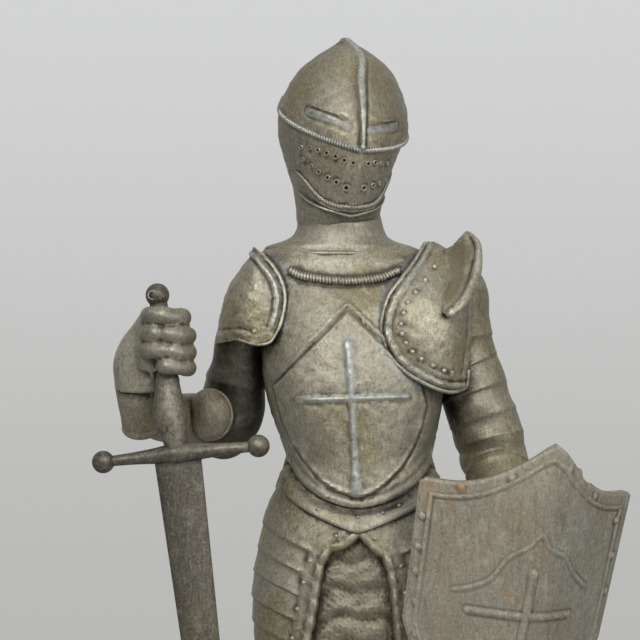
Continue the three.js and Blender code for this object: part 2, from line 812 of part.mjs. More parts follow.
function gauntlet() {
  const cuff = limb([
    { at: [-62.8, -28.4, 290.4], wide: 3.6, fore: 5, power: 2.4 },
    { at: [-64.6, -27.6, 286], wide: 6.2, fore: 6, power: 2.4 },
    { at: [-66.6, -26.2, 281], wide: 9.4, fore: 7.4, power: 2.4 },
    { at: [-68, -24.4, 274], wide: 9.5, fore: 8.2, power: 2.3 },
    { at: [-68.4, -22.4, 267.2], wide: 9, fore: 8.8, power: 2.2 },
    { at: [-68.2, -21.4, 264.8], wide: 8.8, fore: 9, power: 2.1 },
  ], forward);
  const palm = limb([
    { at: [-60.6, -30.4, 291.4], wide: 4, fore: 4 },
    { at: [-61.6, -30.4, 288.6], wide: 6, fore: 6.4, power: 2.6 },
    { at: [-62.4, -30.2, 281], wide: 7.4, fore: 7.6, power: 2.8 },
    { at: [-62.6, -29, 272.6], wide: 6.6, fore: 6.6, power: 2.6 },
  ]);
  const fingers = fingerHeights.flatMap((height, i) => {
    const start = i === 3 ? -59.4 : -65;
    const tuck = i === 0 ? 2 : 0;
    const path = [
      [start, -33, height], [start + 0.6, -38.6, height + 0.2], [-60 + i * 0.3, -41, height + 0.1],
      [-55.2 - tuck, -40.2, height - 0.4], [-52.6 - tuck, -36.4, height - 0.6],
      [-53.2 - tuck, -31.6, height - 0.6], [-57, -28, height - 0.4],
    ].filter(([x], k) => k === 0 || i !== 3 || x > -59.3);
    return [bar(smoothPath(path.map((p) => point(...p)), 5), fingerRadius[i])];
  });
  const thumb = bar(smoothPath([
    point(-65, -25.6, 279), point(-60.6, -24, 283), point(-56, -26.4, 286), point(-54.4, -30, 287),
  ], 4), thumbRadius);
  return union([cuff, palm, ...fingers, thumb]);
}

// Legs: thigh plates, knee cop with its side wing, greave and lamed shoe, as one loft from the
// hip to the ankle whose lames step in under each other, with the knee cop and the shoe joined on

const legs = {
  sword: {
    outward: -1,
    footTurn: THREE.MathUtils.degToRad(-22),
    hip: [-14.6, 1, 190],
    knee: [-21.4, -3, 107],
    ankle: [-24.4, 5, 14],
  },
  shield: {
    outward: 1,
    footTurn: THREE.MathUtils.degToRad(26),
    hip: [19.6, 1, 190],
    knee: [29.2, -9.4, 107],
    ankle: [34.6, -2, 14],
  },
};
// [share of the way from hip to knee, half width, front, back]
const thighProfile = [
  [0, 15.6, 16.6, 17], [0.4, 14.8, 16, 15.6], [0.66, 13.2, 14, 13],
  [0.84, 12.6, 13.2, 11.4], [0.94, 12.6, 13.6, 11.2],
];
// [share of the way from knee to ankle, half width, front, back, how far behind the line]
const shinProfile = [
  [0.06, 10.6, 11.4, 10.6, 0], [0.13, 12, 12.6, 10.8, 0], [0.15, 10.6, 11, 11.4, 0.4],
  [0.31, 11.6, 10.8, 13.6, 0.6], [0.57, 9, 9, 10.4, 0.4], [0.85, 7.4, 7.6, 8.4, 0], [1, 8.2, 9, 9, 0],
];
const kneeCop = { halfWidth: 12, halfDepth: 13.6, halfHeight: 10.4 };
const kneeWing = { outward: 11, halfThick: 3.2, halfDepth: 8.6, halfHeight: 9.4 };
const shoeStations = [ // [along, half width, height]
  [-13.5, 4.6, 8], [-11, 7, 15], [-4, 8.8, 21], [4, 9.2, 20], [12, 9.6, 16.4], [20, 10.2, 13.2],
  [28, 10, 10.6], [35, 8.2, 8.6], [40, 5, 6.6], [42.4, 1.6, 4.6],
];
const shoeLameStep = 0.6;

function shoe(ankle, turn) {
  const along = new THREE.Vector3(Math.sin(turn), -Math.cos(turn), 0);
  const across = new THREE.Vector3(Math.cos(turn), Math.sin(turn), 0);
  const heel = point(ankle[0], ankle[1], 0);
  const upper = 7;
  const ringFor = (reach, halfWidth, height) => {
    const ring = [];
    for (let i = 0; i <= upper; i++) {
      const angle = (i / upper) * Math.PI;
      const p = superPoint(angle, halfWidth, height, height, 2.3);
      ring.push(heel.clone()
        .addScaledVector(along, reach * share)
        .addScaledVector(across, p.across * share)
        .add(new THREE.Vector3(0, 0, p.depth * share)));
    }
    return ring;
  };
  const rings = [];
  shoeStations.forEach(([reach, halfWidth, height], i) => {
    rings.push(ringFor(reach, halfWidth, height));
    const lamed = i >= 4 && i < shoeStations.length - 3;
    if (lamed) rings.push(ringFor(reach + 0.9, halfWidth - shoeLameStep, height - shoeLameStep));
  });
  return skin(rings);
}

function between(from, to, t, behind = 0) {
  return from.map((value, k) => value + (to[k] - value) * t + (k === 1 ? behind : 0));
}

function leg({ outward, footTurn, hip, knee, ankle }) {
  const thigh = thighProfile.map(([t, wide, fore, aft]) => (
    { at: between(hip, knee, t), wide, fore, aft }));
  const shin = shinProfile.map(([t, wide, fore, aft, behind]) => (
    { at: between(knee, ankle, t, behind), wide, fore, aft }));
  const [kneeX, kneeY, kneeZ] = knee;
  return union([
    limb([...lamedStations(thigh, 0.6), ...shin]),
    ball(point(...knee), kneeCop.halfWidth, kneeCop.halfDepth, kneeCop.halfHeight),
    ball(point(kneeX + outward * kneeWing.outward, kneeY + 1, kneeZ),
      kneeWing.halfThick, kneeWing.halfDepth, kneeWing.halfHeight, 0, 8, 6),
    shoe(ankle, footTurn),
  ]);
}

// Sword: its axis leans towards the shield side as it goes down

const swordTop = [-62.4, -33, 296.4];
const swordLean = 0.1256; // sideways for each unit down
const swordForward = 0.018; // forwards for each unit down
const guardHeight = 245.4;
const quillonEnds = [[-79.9, -32.6, 242.6], [-29.8, -35.4, 247.9]];

function swordPlace(height) {
  const [x, y, top] = swordTop;
  const down = top - height;
  return [x + swordLean * down, y - swordForward * down, height];
}

function knob(centre, radius) {
  const size = radius / share;
  return ball(centre, size, size, size, 0, 8, 6);
}

function gripSolid(extra) {
  const profile = [
    [296.4, 0.8], [290, 0.86], [286, 1], [268, 1.04], [262, 1.2], [256, 1.5], [251, 1.5], [247.6, 1.2],
    [244.4, 0.8],
  ];
  return limb(profile.map(([height, swell]) => (
    { at: swordPlace(height), wide: (gripRadius * swell) / share + extra })), forward, 8);
}

function swordSolid() {
  const tipHeight = 0;
  const blade = [];
  const rows = [
    [guardHeight + 1, bladeRootWidth, bladeThickness],
    [14, bladeTipWidth + (bladeRootWidth - bladeTipWidth) * 0.1, bladeThickness * 0.5],
    [tipHeight, bladeTipWidth * 0.5, bladeThickness * 0.3],
  ];
  for (const [height, width, thickness] of rows) {
    const centre = point(...swordPlace(height));
    blade.push([
      centre.clone().add(new THREE.Vector3(-width / 2, 0, 0)),
      centre.clone().add(new THREE.Vector3(0, -thickness / 2, 0)),
      centre.clone().add(new THREE.Vector3(width / 2, 0, 0)),
      centre.clone().add(new THREE.Vector3(0, thickness / 2, 0)),
    ]);
  }
  const [left, right] = quillonEnds;
  const middle = swordPlace(guardHeight);
  const quillons = limb([
    { at: left, wide: 1.7 },
    { at: left.map((v, k) => v + (middle[k] - v) * 0.5), wide: 2.1 },
    { at: left.map((v, k) => v + (middle[k] - v) * 0.85), wide: 2.8 },
    { at: middle, wide: 3.1 },
    { at: right.map((v, k) => v + (middle[k] - v) * 0.85), wide: 2.8 },
    { at: right.map((v, k) => v + (middle[k] - v) * 0.5), wide: 2.1 },
    { at: right, wide: 1.7 },
  ], up, 8);
  return union([
    skin(blade),
    gripSolid(0),
    quillons,
    knob(point(...left), quillonBallRadius),
    knob(point(...right), quillonBallRadius),
    knob(point(...swordTop), pommelRadius),
  ]);
}

// Shield: a heater folded softly along its middle line

const shieldPeak = [66.3, -42, 249.4];
const shieldHalfWidth = 43; // measured round the bend
const shieldLength = 116;
const shieldFold = THREE.MathUtils.degToRad(30);
const shieldTurn = THREE.MathUtils.degToRad(20.2); // outwards
const shieldLean = THREE.MathUtils.degToRad(7); // its top comes forward
const shieldTilt = THREE.MathUtils.degToRad(10.2); // its foot swings to the knight's knees
const shieldBend = 9; // softness of the fold
const shieldTaper = 0.0013; // narrower by this share for each unit down
const shieldSideEnd = 66; // where the straight sides end, below the peak
const shieldCornerDrop = { inner: 19.3, outer: 16.2 }; // corners below the peak
const shieldHollow = 6.2; // how deep each half of the top edge is hollowed
const shieldPointPower = 1.75; // roundness of the sides towards the point
const shieldBorder = 4.4; // width of the border band
const shieldTopBorder = 5.6;
const reliefLift = 0.8;
const reliefRoot = -0.6; // ridges start below the face
// The charge: a gabled line as [round the bend, below its peak], and a plain cross
const chargePeakDown = 29;
const chargeLine = [
  [-26.8, 22.6], [-19.7, 20], [-15.3, 17.4], [-9.5, 8.8], [-2.6, 3.7], [0.8, 0],
  [4, 3.6], [13.5, 7.3], [17, 10.8], [27.5, 17.2],
];
const crossTopDown = 42;
const crossFootDown = 96;
const crossBarDown = 56.3;
const crossBarReach = 21;

// Section of the shield: reach across and depth behind the fold, at a distance round the bend.
function shieldSection(round) {
  const steps = 24;
  let across = 0;
  let behind = 0;
  for (let i = 0; i < steps; i++) {
    const here = (round * (i + 0.5)) / steps;
    const angle = shieldFold * Math.tanh(here / shieldBend);
    across += (Math.cos(angle) * round) / steps;
    behind += (Math.sin(angle) * round) / steps;
  }
  return { across, behind, angle: shieldFold * Math.tanh(round / shieldBend) };
}

function shieldTop(round) {
  const t = Math.abs(round) / shieldHalfWidth;
  const drop = round < 0 ? shieldCornerDrop.inner : shieldCornerDrop.outer;
  return drop * t + shieldHollow * Math.sin(Math.PI * Math.min(t, 1));
}

function shieldBottom(round) {
  const t = Math.min(Math.abs(round) / shieldHalfWidth, 1);
  return shieldSideEnd + (shieldLength - shieldSideEnd) * (1 - t ** shieldPointPower);
}

// A place on the shield: round the bend, down from the peak, lifted off its front face.
function onShield(round, down, lift = 0) {
  const { across, behind, angle } = shieldSection(round * (1 - shieldTaper * down));
  const local = new THREE.Vector3(
    (across + lift * Math.sin(angle)) * share,
    (behind - lift * Math.cos(angle)) * share,
    -down * share,
  );
  local.applyAxisAngle(up, shieldTurn);
  local.applyAxisAngle(toShieldSide, shieldLean);
  local.applyAxisAngle(new THREE.Vector3(0, 1, 0), shieldTilt);
  return local.add(point(...shieldPeak));
}

function shieldPlate(top, bottom, halfWidth, liftFront, liftBack) {
  const columns = 12;
  const rows = 3;
  const rings = [];
  for (let c = 0; c <= columns; c++) {
    const round = THREE.MathUtils.lerp(-halfWidth, halfWidth, c / columns);
    const ring = [];
    for (let r = 0; r <= rows; r++) {
      ring.push(onShield(round, THREE.MathUtils.lerp(top(round), bottom(round), r / rows), liftFront));
    }
    for (let r = rows; r >= 0; r--) {
      ring.push(onShield(round, THREE.MathUtils.lerp(top(round), bottom(round), r / rows), liftBack));
    }
    rings.push(ring);
  }
  return skin(rings);
}

// A low ridge along a path of [round, down] places on the shield.
function shieldRidge(path, halfWidth, lift = reliefLift) {
  const rings = path.map(([round, down], i) => {
    const [r1, d1] = path[Math.min(i + 1, path.length - 1)];
    const [r0, d0] = path[Math.max(i - 1, 0)];
    const along = new THREE.Vector2(r1 - r0, d1 - d0).normalize();
    const [nr, nd] = [-along.y * halfWidth, along.x * halfWidth];
    return [
      onShield(round - nr, down - nd, reliefRoot),
      onShield(round - nr * 0.7, down - nd * 0.7, lift),
      onShield(round + nr * 0.7, down + nd * 0.7, lift),
      onShield(round + nr, down + nd, reliefRoot),
    ];
  });
  return skin(rings);
}

// The border line, inset from the plate's edge: along the top, and down one side.
function borderTop() {
  const line = [];
  for (let i = 0; i <= 6; i++) {
    const round = THREE.MathUtils.lerp(-1, 1, i / 6) * (shieldHalfWidth - shieldBorder);
    line.push([round, shieldTop(round) + shieldTopBorder]);
  }
  return line;
}

function borderSide(side) {
  const line = [];
  const top = shieldTop(side * (shieldHalfWidth - shieldBorder)) + shieldTopBorder;
  for (let i = 0; i <= 4; i++) {
    const down = THREE.MathUtils.lerp(top, shieldLength - shieldTopBorder, i / 4);
    const fall = Math.max(0, (down - shieldSideEnd) / (shieldLength - shieldSideEnd));
    const edge = shieldHalfWidth * (1 - fall) ** (1 / shieldPointPower);
    line.push([side * Math.max(edge - shieldBorder, 0), down]);
  }
  return line;
}

function shieldSolid() {
  const plate = shieldPlate(shieldTop, shieldBottom, shieldHalfWidth, 0, -shieldThickness / share);
  const gable = chargeLine.map(([round, fall]) => [round, chargePeakDown + fall]);
  const upright = [[0, crossTopDown], [0, (crossTopDown + crossFootDown) / 2], [0, crossFootDown]];
  const beam = [-1, -0.3, 0, 0.3, 1].map((t) => [t * crossBarReach, crossBarDown]);
  return union([
    plate,
    shieldRidge(borderTop(), 0.7),
    shieldRidge(borderSide(-1), 0.7),
    shieldRidge(borderSide(1), 0.7),
    shieldRidge(gable, 0.9),
    shieldRidge(upright, 1.7, 1),
    shieldRidge(beam, 1.5, 1),
  ]);
}

// Plinth: a plain block with rounded corners and a hollow moulding up to its top

function plinthSolid() {
  const outline = (inset, height) => {
    const halfX = plinthWidth / 2 - inset;
    const halfY = plinthDepth / 2 - inset;
    const radius = Math.max(plinthCornerRadius - inset, 2);
    const ring = [];
    const perCorner = 4;
    [[1, 1, 0], [-1, 1, 1], [-1, -1, 2], [1, -1, 3]].forEach(([sx, sy, quarter]) => {
      for (let i = 0; i < perCorner; i++) {
        const angle = (Math.PI / 2) * (quarter + i / (perCorner - 1));
        ring.push(new THREE.Vector3(
          sx * (halfX - radius) + radius * Math.cos(angle),
          sy * (halfY - radius) + radius * Math.sin(angle),
          height,
        ));
      }
    });
    return ring;
  };
  const edge = 0.8;
  const coveTop = plinthHeight - 3;
  const rings = [
    outline(edge, 0),
    outline(0, edge),
    outline(0, plinthFootHeight - edge),
    outline(edge, plinthFootHeight),
  ];
  const coveSteps = 4;
  for (let i = 1; i <= coveSteps; i++) {
    const angle = (Math.PI / 2) * (i / coveSteps);
    const inset = edge + (plinthMouldingInset - edge) * Math.sin(angle);
    rings.push(outline(inset, plinthFootHeight + (coveTop - plinthFootHeight) * (1 - Math.cos(angle))));
  }
  rings.push(outline(plinthMouldingInset - 1, coveTop + 0.6));
  rings.push(outline(plinthMouldingInset - 1, plinthHeight - edge));
  rings.push(outline(plinthMouldingInset, plinthHeight));
  return skin(rings);
}

// The figure: everything that is one casting, with a hole through the fist for the grip

function figureSolid() {
  const body = union([
    mailSkirt(),
    tassets(),
    archBorder(),
    fauld(),
    breastplate(),
    neckRoll(),
    neck(),
    gorgetRing(),
    helmet(),
    swordArmSolid(),
    shieldArmSolid(),
    gauntlet(),
    pauldron(swordShoulder, 1, 10),
    pauldron(shieldShoulder, 1, 15),
    wing(),
    leg(legs.sword),
    leg(legs.shield),
  ]);
  const back = -(shieldThickness + castingGap) / share;
  const shieldRoom = shieldPlate(shieldTop, shieldBottom, shieldHalfWidth + 1, 3, back);
  return body.subtract(gripSolid(castingGap / share)).subtract(shieldRoom);
}

// Finishes

function pewter() {
  return new THREE.MeshStandardMaterial({ color: 0x96917d, roughness: 0.45, metalness: 0.9 });
}

function swordMetal() {
  return new THREE.MeshStandardMaterial({ color: 0x6b6456, roughness: 0.5, metalness: 0.85 });
}

function shieldMetal() {
  return new THREE.MeshStandardMaterial({ color: 0x86806f, roughness: 0.6, metalness: 0.7 });
}

function part(name, solid, material) {
  const mesh = new THREE.Mesh(geometryOf(solid), material);
  mesh.name = name;
  return mesh;
}

const statue = new THREE.Group();
statue.add(
  part('plinth', plinthSolid(), pewter()),
  part('knight_figure', figureSolid(), pewter()),
  part('sword', swordSolid(), swordMetal()),
  part('shield', shieldSolid(), shieldMetal()),
);

export default statue;
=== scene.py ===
"""Looks of a cast knight statuette on its plinth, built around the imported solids.

Lengths are millimetres until a casting is finished, when it is scaled to metres. Heights of the
figure are measured above its soles, which stand just over the top of the plinth.
"""

from __future__ import annotations

import logging
import math
from dataclasses import dataclass
from enum import Enum
from typing import Callable, Iterable, Sequence

import bmesh
import bpy
import numpy as np
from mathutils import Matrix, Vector
from mathutils.bvhtree import BVHTree


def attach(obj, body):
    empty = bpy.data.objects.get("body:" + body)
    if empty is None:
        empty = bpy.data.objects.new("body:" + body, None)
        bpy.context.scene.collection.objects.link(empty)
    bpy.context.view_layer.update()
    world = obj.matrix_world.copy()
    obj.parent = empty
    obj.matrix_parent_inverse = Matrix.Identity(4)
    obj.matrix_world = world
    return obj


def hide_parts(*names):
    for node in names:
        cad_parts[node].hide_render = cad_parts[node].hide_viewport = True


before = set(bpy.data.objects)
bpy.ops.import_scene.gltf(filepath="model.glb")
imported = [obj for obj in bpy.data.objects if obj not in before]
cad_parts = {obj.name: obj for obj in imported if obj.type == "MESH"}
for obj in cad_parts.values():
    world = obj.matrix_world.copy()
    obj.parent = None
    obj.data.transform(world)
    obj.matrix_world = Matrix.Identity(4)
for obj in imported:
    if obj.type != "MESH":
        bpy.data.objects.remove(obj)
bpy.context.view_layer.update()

log = logging.getLogger("knight")

Array = np.ndarray
Rows = Sequence[Sequence[float]]
Point = tuple[float, float, float]
Colour = tuple[float, float, float]
Place = Callable[[Array, Array], Array]
Relief = Callable[[Array, Array], Array]
Layers = dict[str, Array]
Shell = bmesh.types.BMesh
Solid = bpy.types.Object
Mesh = bpy.types.Mesh
Socket = bpy.types.NodeSocket
Inputs = dict[str | int, Socket | float | Sequence[float]]

METRES = 0.001
SOLE_HEIGHT = 20.3
SHARP_ANGLE = math.radians(55)
GOLDEN_ANGLE = 2.399963
TINY = 1e-9
WELD = 1e-4

UP = (0.0, 0.0, 1.0)
FORWARD = (0.0, -1.0, 0.0)
SIDEWAYS = (1.0, 0.0, 0.0)


class Join(Enum):
    """What a Boolean does with its second solid."""

    ADD = "UNION"
    CUT = "DIFFERENCE"
    KEEP = "INTERSECT"


# Curves and tables


def through(table: Rows, at: Array) -> tuple[Array, ...]:
    """Reads a table smoothly between its rows.

    Args:
        table: rows whose first number is the place along; the others are what is read there.
        at: the places to read.

    Returns:
        One array for each column after the first.
    """
    rows = np.asarray(table, float)
    rows = rows[np.argsort(rows[:, 0])]
    knots, values = rows[:, 0], rows[:, 1:]
    slopes = np.gradient(values, knots, axis=0)
    at = np.clip(np.asarray(at, float), knots[0], knots[-1])
    low = np.clip(np.searchsorted(knots, at, side="right") - 1, 0, len(knots) - 2)
    width = (knots[low + 1] - knots[low])[..., None]
    t = ((at - knots[low])[..., None]) / width
    out = (2 * t**3 - 3 * t**2 + 1) * values[low] + (t**3 - 2 * t**2 + t) * width * slopes[low]
    out = out + (3 * t**2 - 2 * t**3) * values[low + 1] + (t**3 - t**2) * width * slopes[low + 1]
    return tuple(np.moveaxis(out, -1, 0))


def run_lengths(points: Rows) -> Array:
    """Length along a line of straight runs at each of its points."""
    steps = np.diff(np.asarray(points, float), axis=0)
    return np.concatenate([[0], np.cumsum(np.linalg.norm(steps, axis=1))])


def smooth_path(points: Rows, spacing: float, closed: bool = False) -> Array:
    """Runs a smooth line through points.

    Args:
        points: the places that the line passes.
        spacing: how far apart its new points are.
        closed: whether it comes back to its start.

    Returns:
        Points at an even spacing, the first one repeated at the end of a closed line.
    """
    knots = np.asarray(points, float)
    count = len(knots)
    if closed:
        knots = np.vstack([knots[-3:], knots, knots[:4]])
    length = run_lengths(knots)
    start, end = (length[3], length[3 + count]) if closed else (0.0, length[-1])
    steps = max(int(round((end - start) / spacing)), 2)
    at = np.linspace(start, end, steps + 1)
    return np.stack(through(np.column_stack([length, knots]), at), axis=-1)


def ease(value: Array, span: float = 1.0) -> Array:
    """Rises smoothly from 0 to 1 while a value goes from 0 to a span."""
    t = np.clip(value / span, 0, 1)
    return t * t * (3 - 2 * t)


def squared_off(value: Array, power: float | Array) -> Array:
    """Power of a number's size that keeps its sign, which squares off a round section."""
    return np.sign(value) * np.abs(value) ** power


def unit(vectors: Array) -> Array:
    """Vectors of length 1 along the given ones."""
    return vectors / np.maximum(np.linalg.norm(vectors, axis=-1, keepdims=True), TINY)


def swung(first: Array, second: Array, angle: float) -> tuple[Array, Array]:
    """Turns places in the plane of two axes, from the first towards the second."""
    cos, sin = math.cos(angle), math.sin(angle)
    return first * cos - second * sin, first * sin + second * cos


def bead(distance: Array, half: float, lift: float) -> Array:
    """Round ridge of a half width about distance 0."""
    return lift * np.sqrt(np.clip(1 - (distance / half) ** 2, 0, 1))


def groove(distance: Array, half: float, depth: float) -> Array:
    """Soft groove about distance 0."""
    return -depth * np.exp(-((distance / half) ** 2))


def distance_to_line(x: Array, z: Array, line: Rows, closed: bool = False) -> Array:
    """Distance of each place to a line of straight runs.

    Args:
        x: places across.
        z: places up.
        line: the line's points.
        closed: whether its last point runs back to the first.

    Returns:
        The distances.
    """
    points = np.asarray(line, float)
    if closed:
        points = np.vstack([points, points[:1]])
    best = np.full(np.shape(x), 1e9)
    for (x0, z0), (x1, z1) in zip(points[:-1], points[1:]):
        dx, dz = x1 - x0, z1 - z0
        t = np.clip(((x - x0) * dx + (z - z0) * dz) / max(dx * dx + dz * dz, TINY), 0, 1)
        best = np.minimum(best, np.hypot(x - x0 - t * dx, z - z0 - t * dz))
    return best


def depth_inside(x: Array, z: Array, outline: Rows) -> Array:
    """Distance of each place to a closed outline, positive inside it."""
    inside = np.zeros(np.shape(x), bool)
    points = np.asarray(outline, float)
    for (x0, z0), (x1, z1) in zip(points, np.roll(points, -1, axis=0)):
        if z0 != z1:
            crosses = (z0 > z) != (z1 > z)
            inside ^= crosses & (x < (x1 - x0) * (z - z0) / (z1 - z0) + x0)
    return np.where(inside, 1, -1) * distance_to_line(x, z, outline, closed=True)


def flared_bar(x: Array, z: Array, start: Sequence[float], end: Sequence[float],
               narrow: float, wide: float) -> Array:
    """Height share of a rounded bar that swells towards both ends, from 0 at its sides to 1.

    Args:
        x: places across.
        z: places up.
        start: one end of its middle line.
        end: the other end.
        narrow: its half width in the middle.
        wide: its half width at the ends.

    Returns:
        The share at each place.
    """
    run = np.hypot(end[0] - start[0], end[1] - start[1])
    ax, az = (end[0] - start[0]) / run, (end[1] - start[1]) / run
    along = (x - start[0]) * ax + (z - start[1]) * az
    across = (x - start[0]) * -az + (z - start[1]) * ax
    t = np.clip(along / run, 0, 1)
    half = narrow + (wide - narrow) * np.abs(2 * t - 1) ** 3
    past = np.maximum(np.maximum(-along, along - run), 0)
    return np.sqrt(np.clip(1 - (np.hypot(across, past) / half) ** 2, 0, 1))


def turned(u: Array, front_share: float = 0.66, crowd: float = 0.3) -> Array:
    """Angles round a body whose front half takes more of the columns.

    Args:
        u: share of the way round.
        front_share: share of the columns that the front half takes.
        crowd: how much closer together they are in the middle of the front.

    Returns:
        Angles, 0 at the shield side and a quarter turn at the front.
    """
    front = np.clip(u / front_share, 0, 1)
    front = np.pi * (front + crowd * np.sin(2 * np.pi * front) / (2 * np.pi))
    back = np.clip((u - front_share) / (1 - front_share), 0, 1)
    return np.where(u < front_share, front, np.pi + np.pi * back)


# Shells


def closed_shell(columns: int, rows: int, place: Place, loop: bool = False,
                 dish: float = 0.0) -> Shell:
    """Rolls a grid into a closed shell.

    Args:
        columns: faces round it.
        rows: faces along it.
        place: gives a point for each share round and share along.
        loop: whether its last row meets the first; otherwise each end closes on a pole.
        dish: how far the pole of the first row is raised.

    Returns:
        The shell, with its faces outwards.
    """
    extra = 0 if loop else 2
    shell = bmesh.new()
    bmesh.ops.create_grid(shell, x_segments=columns, y_segments=rows + extra, size=1.0)
    at = np.array([vertex.co[:2] for vertex in shell.verts])
    u = np.rint((at[:, 0] + 1) / 2 * columns) % columns / columns
    step = np.rint((at[:, 1] + 1) / 2 * (rows + extra)).astype(int)
    v = np.clip((step - extra // 2) / rows, 0, 1)
    points = place(u, v)
    if not loop:
        for end, ring in ((0, 1), (rows + 2, rows + 1)):
            points[step == end] = points[step == ring].mean(axis=0)
        points[step == 0, 2] += dish
    for vertex, point in zip(shell.verts, points):
        vertex.co = point
    bmesh.ops.remove_doubles(shell, verts=shell.verts, dist=WELD)
    bmesh.ops.recalc_face_normals(shell, faces=shell.faces)
    return shell


def sections(centres: Array, reference: Sequence[float], closed: bool = False) -> tuple[Array, Array]:
    """Directions across each point of a line.

    Args:
        centres: the line's points.
        reference: a direction that the line never runs along.
        closed: whether the line comes back to its start.

    Returns:
        The right and the front direction at each point.
    """
    ahead = np.roll(centres, -1, axis=0)
    behind = np.roll(centres, 1, axis=0)
    if closed:
        ahead[-1], behind[0] = centres[1], centres[-2]
    else:
        ahead[-1], behind[0] = centres[-1], centres[0]
    axis = unit(ahead - behind)
    right = unit(np.cross(axis, reference))
    return right, np.cross(right, axis)


def tube(path: Array, radius: float | Array, reference: Sequence[float] = UP, sides: int = 8,
         closed: bool = False, flat: float = 1.0) -> Shell:
    """Makes a bar along a line.

    Args:
        path: points of its middle line.
        radius: one number, one for each point, or a table of points by sides plus one.
        reference: a direction that the line never runs along.
        sides: faces round it.
        closed: whether the line comes back to its start.
        flat: its thickness along the front direction as a share of its width.

    Returns:
        The bar.
    """
    right, front = sections(path, reference, closed)
    count = len(path)
    size = np.asarray(radius, float)
    size = np.broadcast_to(size[:, None] if size.ndim == 1 else size, (count, sides + 1))

    def place(u: Array, v: Array) -> Array:
        """Point of the bar at a share round and a share along."""
        row = np.rint(v * (count - 1)).astype(int)
        column = np.rint(u * sides).astype(int)
        angle = 2 * np.pi * u
        reach = size[row, column][:, None]
        out = np.cos(angle)[:, None] * right[row] + flat * np.sin(angle)[:, None] * front[row]
        return path[row] + reach * out

    return closed_shell(sides, count - 1, place, loop=closed)


def rope(path: Array, radius: float, pitch: float, reference: Sequence[float] = UP,
         depth: float = 0.2, sides: int = 8, fade: float = 2.0) -> Shell:
    """Makes a bar that is cut like a twisted rope.

    Args:
        path: points of its middle line, four or more to each strand.
        radius: its half thickness.
        pitch: length of one strand along it.
        reference: a direction that the line never runs along.
        depth: how deep the cuts between the strands are, as a share of the radius.
        sides: faces round it.
        fade: length over which it thins out at each end.

    Returns:
        The rope.
    """
    along = run_lengths(path)
    angle = np.linspace(0, 2 * np.pi, sides + 1)
    wave = np.abs(np.sin(np.pi * along[:, None] / pitch + angle[None, :] / 2))
    ends = ease(np.minimum(along, along[-1] - along) / fade)[:, None]
    return tube(path, radius * (1 - depth + depth * wave) * (0.25 + 0.75 * ends), reference, sides)


def limb(stations: Rows, reference: Sequence[float] = FORWARD, columns: int = 48,
         pitch: float = 0.8, relief: Relief | None = None) -> Shell:
    """Makes a limb over stations read along its own axis.

    Args:
        stations: rows of x, y, height, half width, front, back and power of the section.
        reference: a direction that the axis never runs along.
        columns: faces round it.
        pitch: length of a row of faces.
        relief: lift of the skin at a length along and an angle round.

    Returns:
        The limb.
    """
    rows = np.asarray(stations, float)
    length = station_lengths(rows)
    count = max(int(length[-1] / pitch), 4)
    along = np.linspace(0, length[-1], count + 1)
    x, y, z, wide, fore, aft, power = through(np.column_stack([length, rows]), along)
    centres = np.stack([x, y, z], axis=-1)
    right, front = sections(centres, reference)

    def place(u: Array, v: Array) -> Array:
        """Point of the limb at a share round and a share along."""
        row = np.rint(v * count).astype(int)
        angle = 2 * np.pi * u
        side, ahead = np.cos(angle), np.sin(angle)
        shape = 2 / power[row]
        depth = np.where(ahead > 0, fore[row], aft[row])
        lift = relief(along[row], angle) if relief else 0.0
        across = squared_off(side, shape) * (wide[row] + lift)
        deep = squared_off(ahead, shape) * (depth + lift)
        return centres[row] + across[:, None] * right[row] + deep[:, None] * front[row]

    return closed_shell(columns, count, place)


def station_lengths(stations: Rows) -> Array:
    """Length along a limb at which each of its stations lies."""
    return run_lengths(np.asarray(stations, float)[:, :3])


def lames(edges: Array, step: float, rim: float = 0.25) -> Relief:
    """Relief of overlapping plates, each swelling to a rolled edge and stepping back in.

    Args:
        edges: lengths along at which the plates start and end.
        step: how far an edge stands proud of the next plate.
        rim: height of the roll along the edge.

    Returns:
        The relief.
    """

    def relief(along: Array, angle: Array) -> Array:
        """Lift at a length along and an angle round."""
        plate = np.clip(np.searchsorted(edges, along, side="left"), 1, len(edges) - 1)
        start, end = edges[plate - 1], edges[plate]
        t = np.clip((along - start) / (end - start), 0, 1)
        fade = ease(end - along, 0.5) * 0.5 + 0.5
        return (step * t**1.5 + bead(end - along - 0.8, 0.9, rim)) * fade

    return relief


def round_place(stations: Rows, power: float, angle: Array, height: Array,
                lift: Array | float = 0.0) -> Array:
    """Point of a body about an upright axis.

    Args:
        stations: rows of height, middle, half width, front and back.
        power: roundness of its sections, 2 for an ellipse.
        angle: 0 at the shield side, a quarter turn at the front.
        height: height of the point.
        lift: how far it is lifted off the body.

    Returns:
        The points.
    """
    middle, half, front, back = through(stations, height)
    side, ahead = np.cos(angle), np.sin(angle)
    depth = np.where(ahead > 0, front, back)
    x = middle + squared_off(side, 2 / power) * (half + lift)
    y = -squared_off(ahead, 2 / power) * (depth + lift)
    return np.stack([x, y, height + np.zeros_like(x)], axis=-1)


def on_front(stations: Rows, power: float, x: Array, height: Array, lift: float = 0.0) -> Array:
    """Places on the front of a body at given x and heights."""
    x, height = np.asarray(x, float), np.asarray(height, float)
    middle, half, front, _ = through(stations, height)
    reach = np.minimum(np.abs((x - middle) / half), 0.999)
    return np.stack([x, -front * (1 - reach**power) ** (1 / power) - lift, height], axis=-1)


